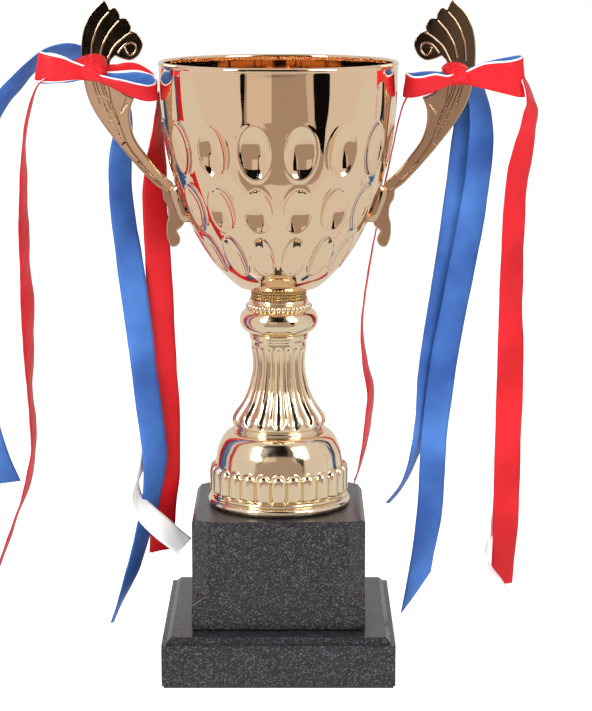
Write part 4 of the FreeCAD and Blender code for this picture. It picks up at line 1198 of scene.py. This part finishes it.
# Upright panels in front of the trophy, in layers from the back one on: name, layer, level, colour,
# and corners in x and height.
WALL_PANELS = [
    ("opening", 0, 0.41, (1.0, 0.82, 0.72), [
        (-0.178, 0.26), (-0.169, 0.17), (-0.205, 0.14), (-0.234, 0.12), (-0.247, 0.07), (-0.250, 0.03),
        (-0.240, 0.007), (-0.205, 0.001), (-0.13, 0.03), (-0.04, 0.050), (0.06, 0.047), (0.13, 0.03),
        (0.21, 0.01), (0.262, 0.008), (0.29, 0.03), (0.284, 0.072), (0.262, 0.1), (0.268, 0.135),
        (0.283, 0.175), (0.293, 0.26)]),
    ("strip_left", 1, 0.004, (1.0, 1.0, 1.0), [
        (-0.178, 0.26), (-0.169, 0.177), (-0.177, 0.150), (-0.228, 0.127), (-0.223, 0.117),
        (-0.166, 0.138), (-0.159, 0.155), (-0.158, 0.177), (-0.144, 0.26)]),
    ("strip_right", 1, 0.004, (1.0, 1.0, 1.0), [
        (0.157, 0.26), (0.171, 0.176), (0.201, 0.134), (0.262, 0.076), (0.273, 0.077), (0.266, 0.134),
        (0.282, 0.171), (0.292, 0.26)]),
    ("glow_left", 2, 0.72, WARM, [(-0.133, 0.26), (-0.140, 0.170), (-0.026, 0.179), (-0.025, 0.26)]),
    ("glow_right", 2, 0.62, WARM, [
        (0.115, 0.26), (0.139, 0.157), (0.172, 0.139), (0.171, 0.176), (0.152, 0.26)]),
    ("room", 3, 0.006, (1.0, 1.0, 1.0), [(-0.21, 0.246), (0.086, 0.246), (0.094, 0.80), (-0.25, 0.80)]),
    ("room_edge", 3, 0.12, (1.0, 0.85, 0.72), [
        (0.086, 0.246), (0.15, 0.246), (0.15, 0.80), (0.094, 0.80)]),
]
GAP_LEVEL = 0.02
GAP_DISTANCE = 0.9


def only_in_polish(panel, colour, level):
    """Makes a panel glow for mirror rays only, so that it shows in the polish and nowhere else."""
    panel.data.materials.append(emitter(panel.name, colour, level))
    panel.visible_camera = False
    panel.visible_shadow = False
    panel.visible_diffuse = False


def wall_gap(name, azimuths, elevations):
    """A dark gap between the walls of the light tent, on a sphere round the bowl.

    Azimuth 0 is straight in front and positive to the right.
    """
    centre = Vector((0, 0, 0.2))
    rows, columns = 13, 17
    points = []
    for e in np.radians(np.linspace(*elevations, rows)):
        for a in np.radians(np.linspace(*azimuths, columns)):
            points.append(centre + GAP_DISTANCE * Vector(
                (math.sin(a) * math.cos(e), -math.cos(a) * math.cos(e), math.sin(e))))
    gap = new_object(name, np.array(points) / MM, grid_faces(rows, columns))
    only_in_polish(gap, (1, 1, 1), GAP_LEVEL)


def make_tent():
    """What the polished metal sees: pale walls, a dim front opening, and the dark room above it."""
    for name, layer, level, colour, corners in WALL_PANELS:
        depth = PANEL_DEPTH - LAYER_STEP * layer
        points = np.array([(x, -depth, z) for x, z in corners]) / MM
        only_in_polish(new_object(name, points, [tuple(range(len(corners)))]), colour, level)
    wall_gap("gap_left", (-114, -109), (-30, 45))
    wall_gap("gap_right", (116, 124), (-30, 45))


FLOOR_GLOW = 0.80
TABLE_LEVEL = 0.76
TABLE_FRONT = 0.25


def make_floor():
    """A white floor for the camera, and a table top that only the polish sees."""
    reach = 4000.0
    low = cad_box[0][2] / MM
    corners = [(-reach, -reach, 0), (reach, -reach, 0), (reach, reach, 0), (-reach, reach, 0)]
    floor = new_object("floor", np.array(corners) + (0, 0, low - 0.2), [(0, 1, 2, 3)])
    white = plain_material("pale_floor", (0.88, 0.88, 0.88), (0.9, 0.9, 0.9), 3.0, 0.9)
    put(white.node_tree, white.node_tree.nodes["Principled BSDF"], Emission_Color=(1, 1, 1, 1),
        Emission_Strength=FLOOR_GLOW)
    floor.data.materials.append(white)
    floor.visible_glossy = False
    front = -TABLE_FRONT / MM
    corners = [(-reach, front, 0), (reach, front, 0), (reach, reach, 0), (-reach, reach, 0)]
    seen = new_object("table_in_polish", np.array(corners) + (0, 0, low - 0.4), [(0, 1, 2, 3)])
    only_in_polish(seen, (0.97, 1.0, 0.98), TABLE_LEVEL)


def surround(name, radius, colour, level, seen_by):
    """A glowing ball round everything that only one kind of ray sees."""
    rows, columns = 16, 32
    points = []
    for e in np.linspace(-0.499 * math.pi, 0.499 * math.pi, rows):
        for a in np.linspace(0, 2 * math.pi, columns, endpoint=False):
            points.append((radius * math.cos(e) * math.cos(a), radius * math.cos(e) * math.sin(a),
                           radius * math.sin(e)))
    ball = new_object(name, points, grid_faces(rows, columns, wrap_columns=True))
    ball.data.materials.append(emitter(name, colour, level))
    for ray in ("camera", "diffuse", "glossy", "transmission", "volume_scatter", "shadow"):
        setattr(ball, "visible_" + ray, ray == seen_by)


TENT_LEVEL = 0.73
ROOM_LEVEL = 0.42


def make_world():
    world = bpy.data.worlds.new("studio")
    world.use_nodes = True
    background = world.node_tree.nodes["Background"]
    background.inputs["Color"].default_value = (1.0, 0.98, 0.97, 1)
    background.inputs["Strength"].default_value = ROOM_LEVEL
    bpy.context.scene.world = world


make_camera()
make_floor()
surround("backdrop", 3900, (1, 1, 1), 1.0, "camera")
surround("pale_walls", 3800, (1.0, 0.96, 0.94), TENT_LEVEL, "glossy")
make_world()
make_tent()
area_light("softbox_left", (-0.85, -0.95, 0.95), (0, 0, 0.15), (0.55, 0.75), 17)
area_light("softbox_right", (0.9, -0.85, 0.95), (0, 0, 0.15), (0.55, 0.75), 9)
bpy.context.scene.view_settings.view_transform = "Standard"
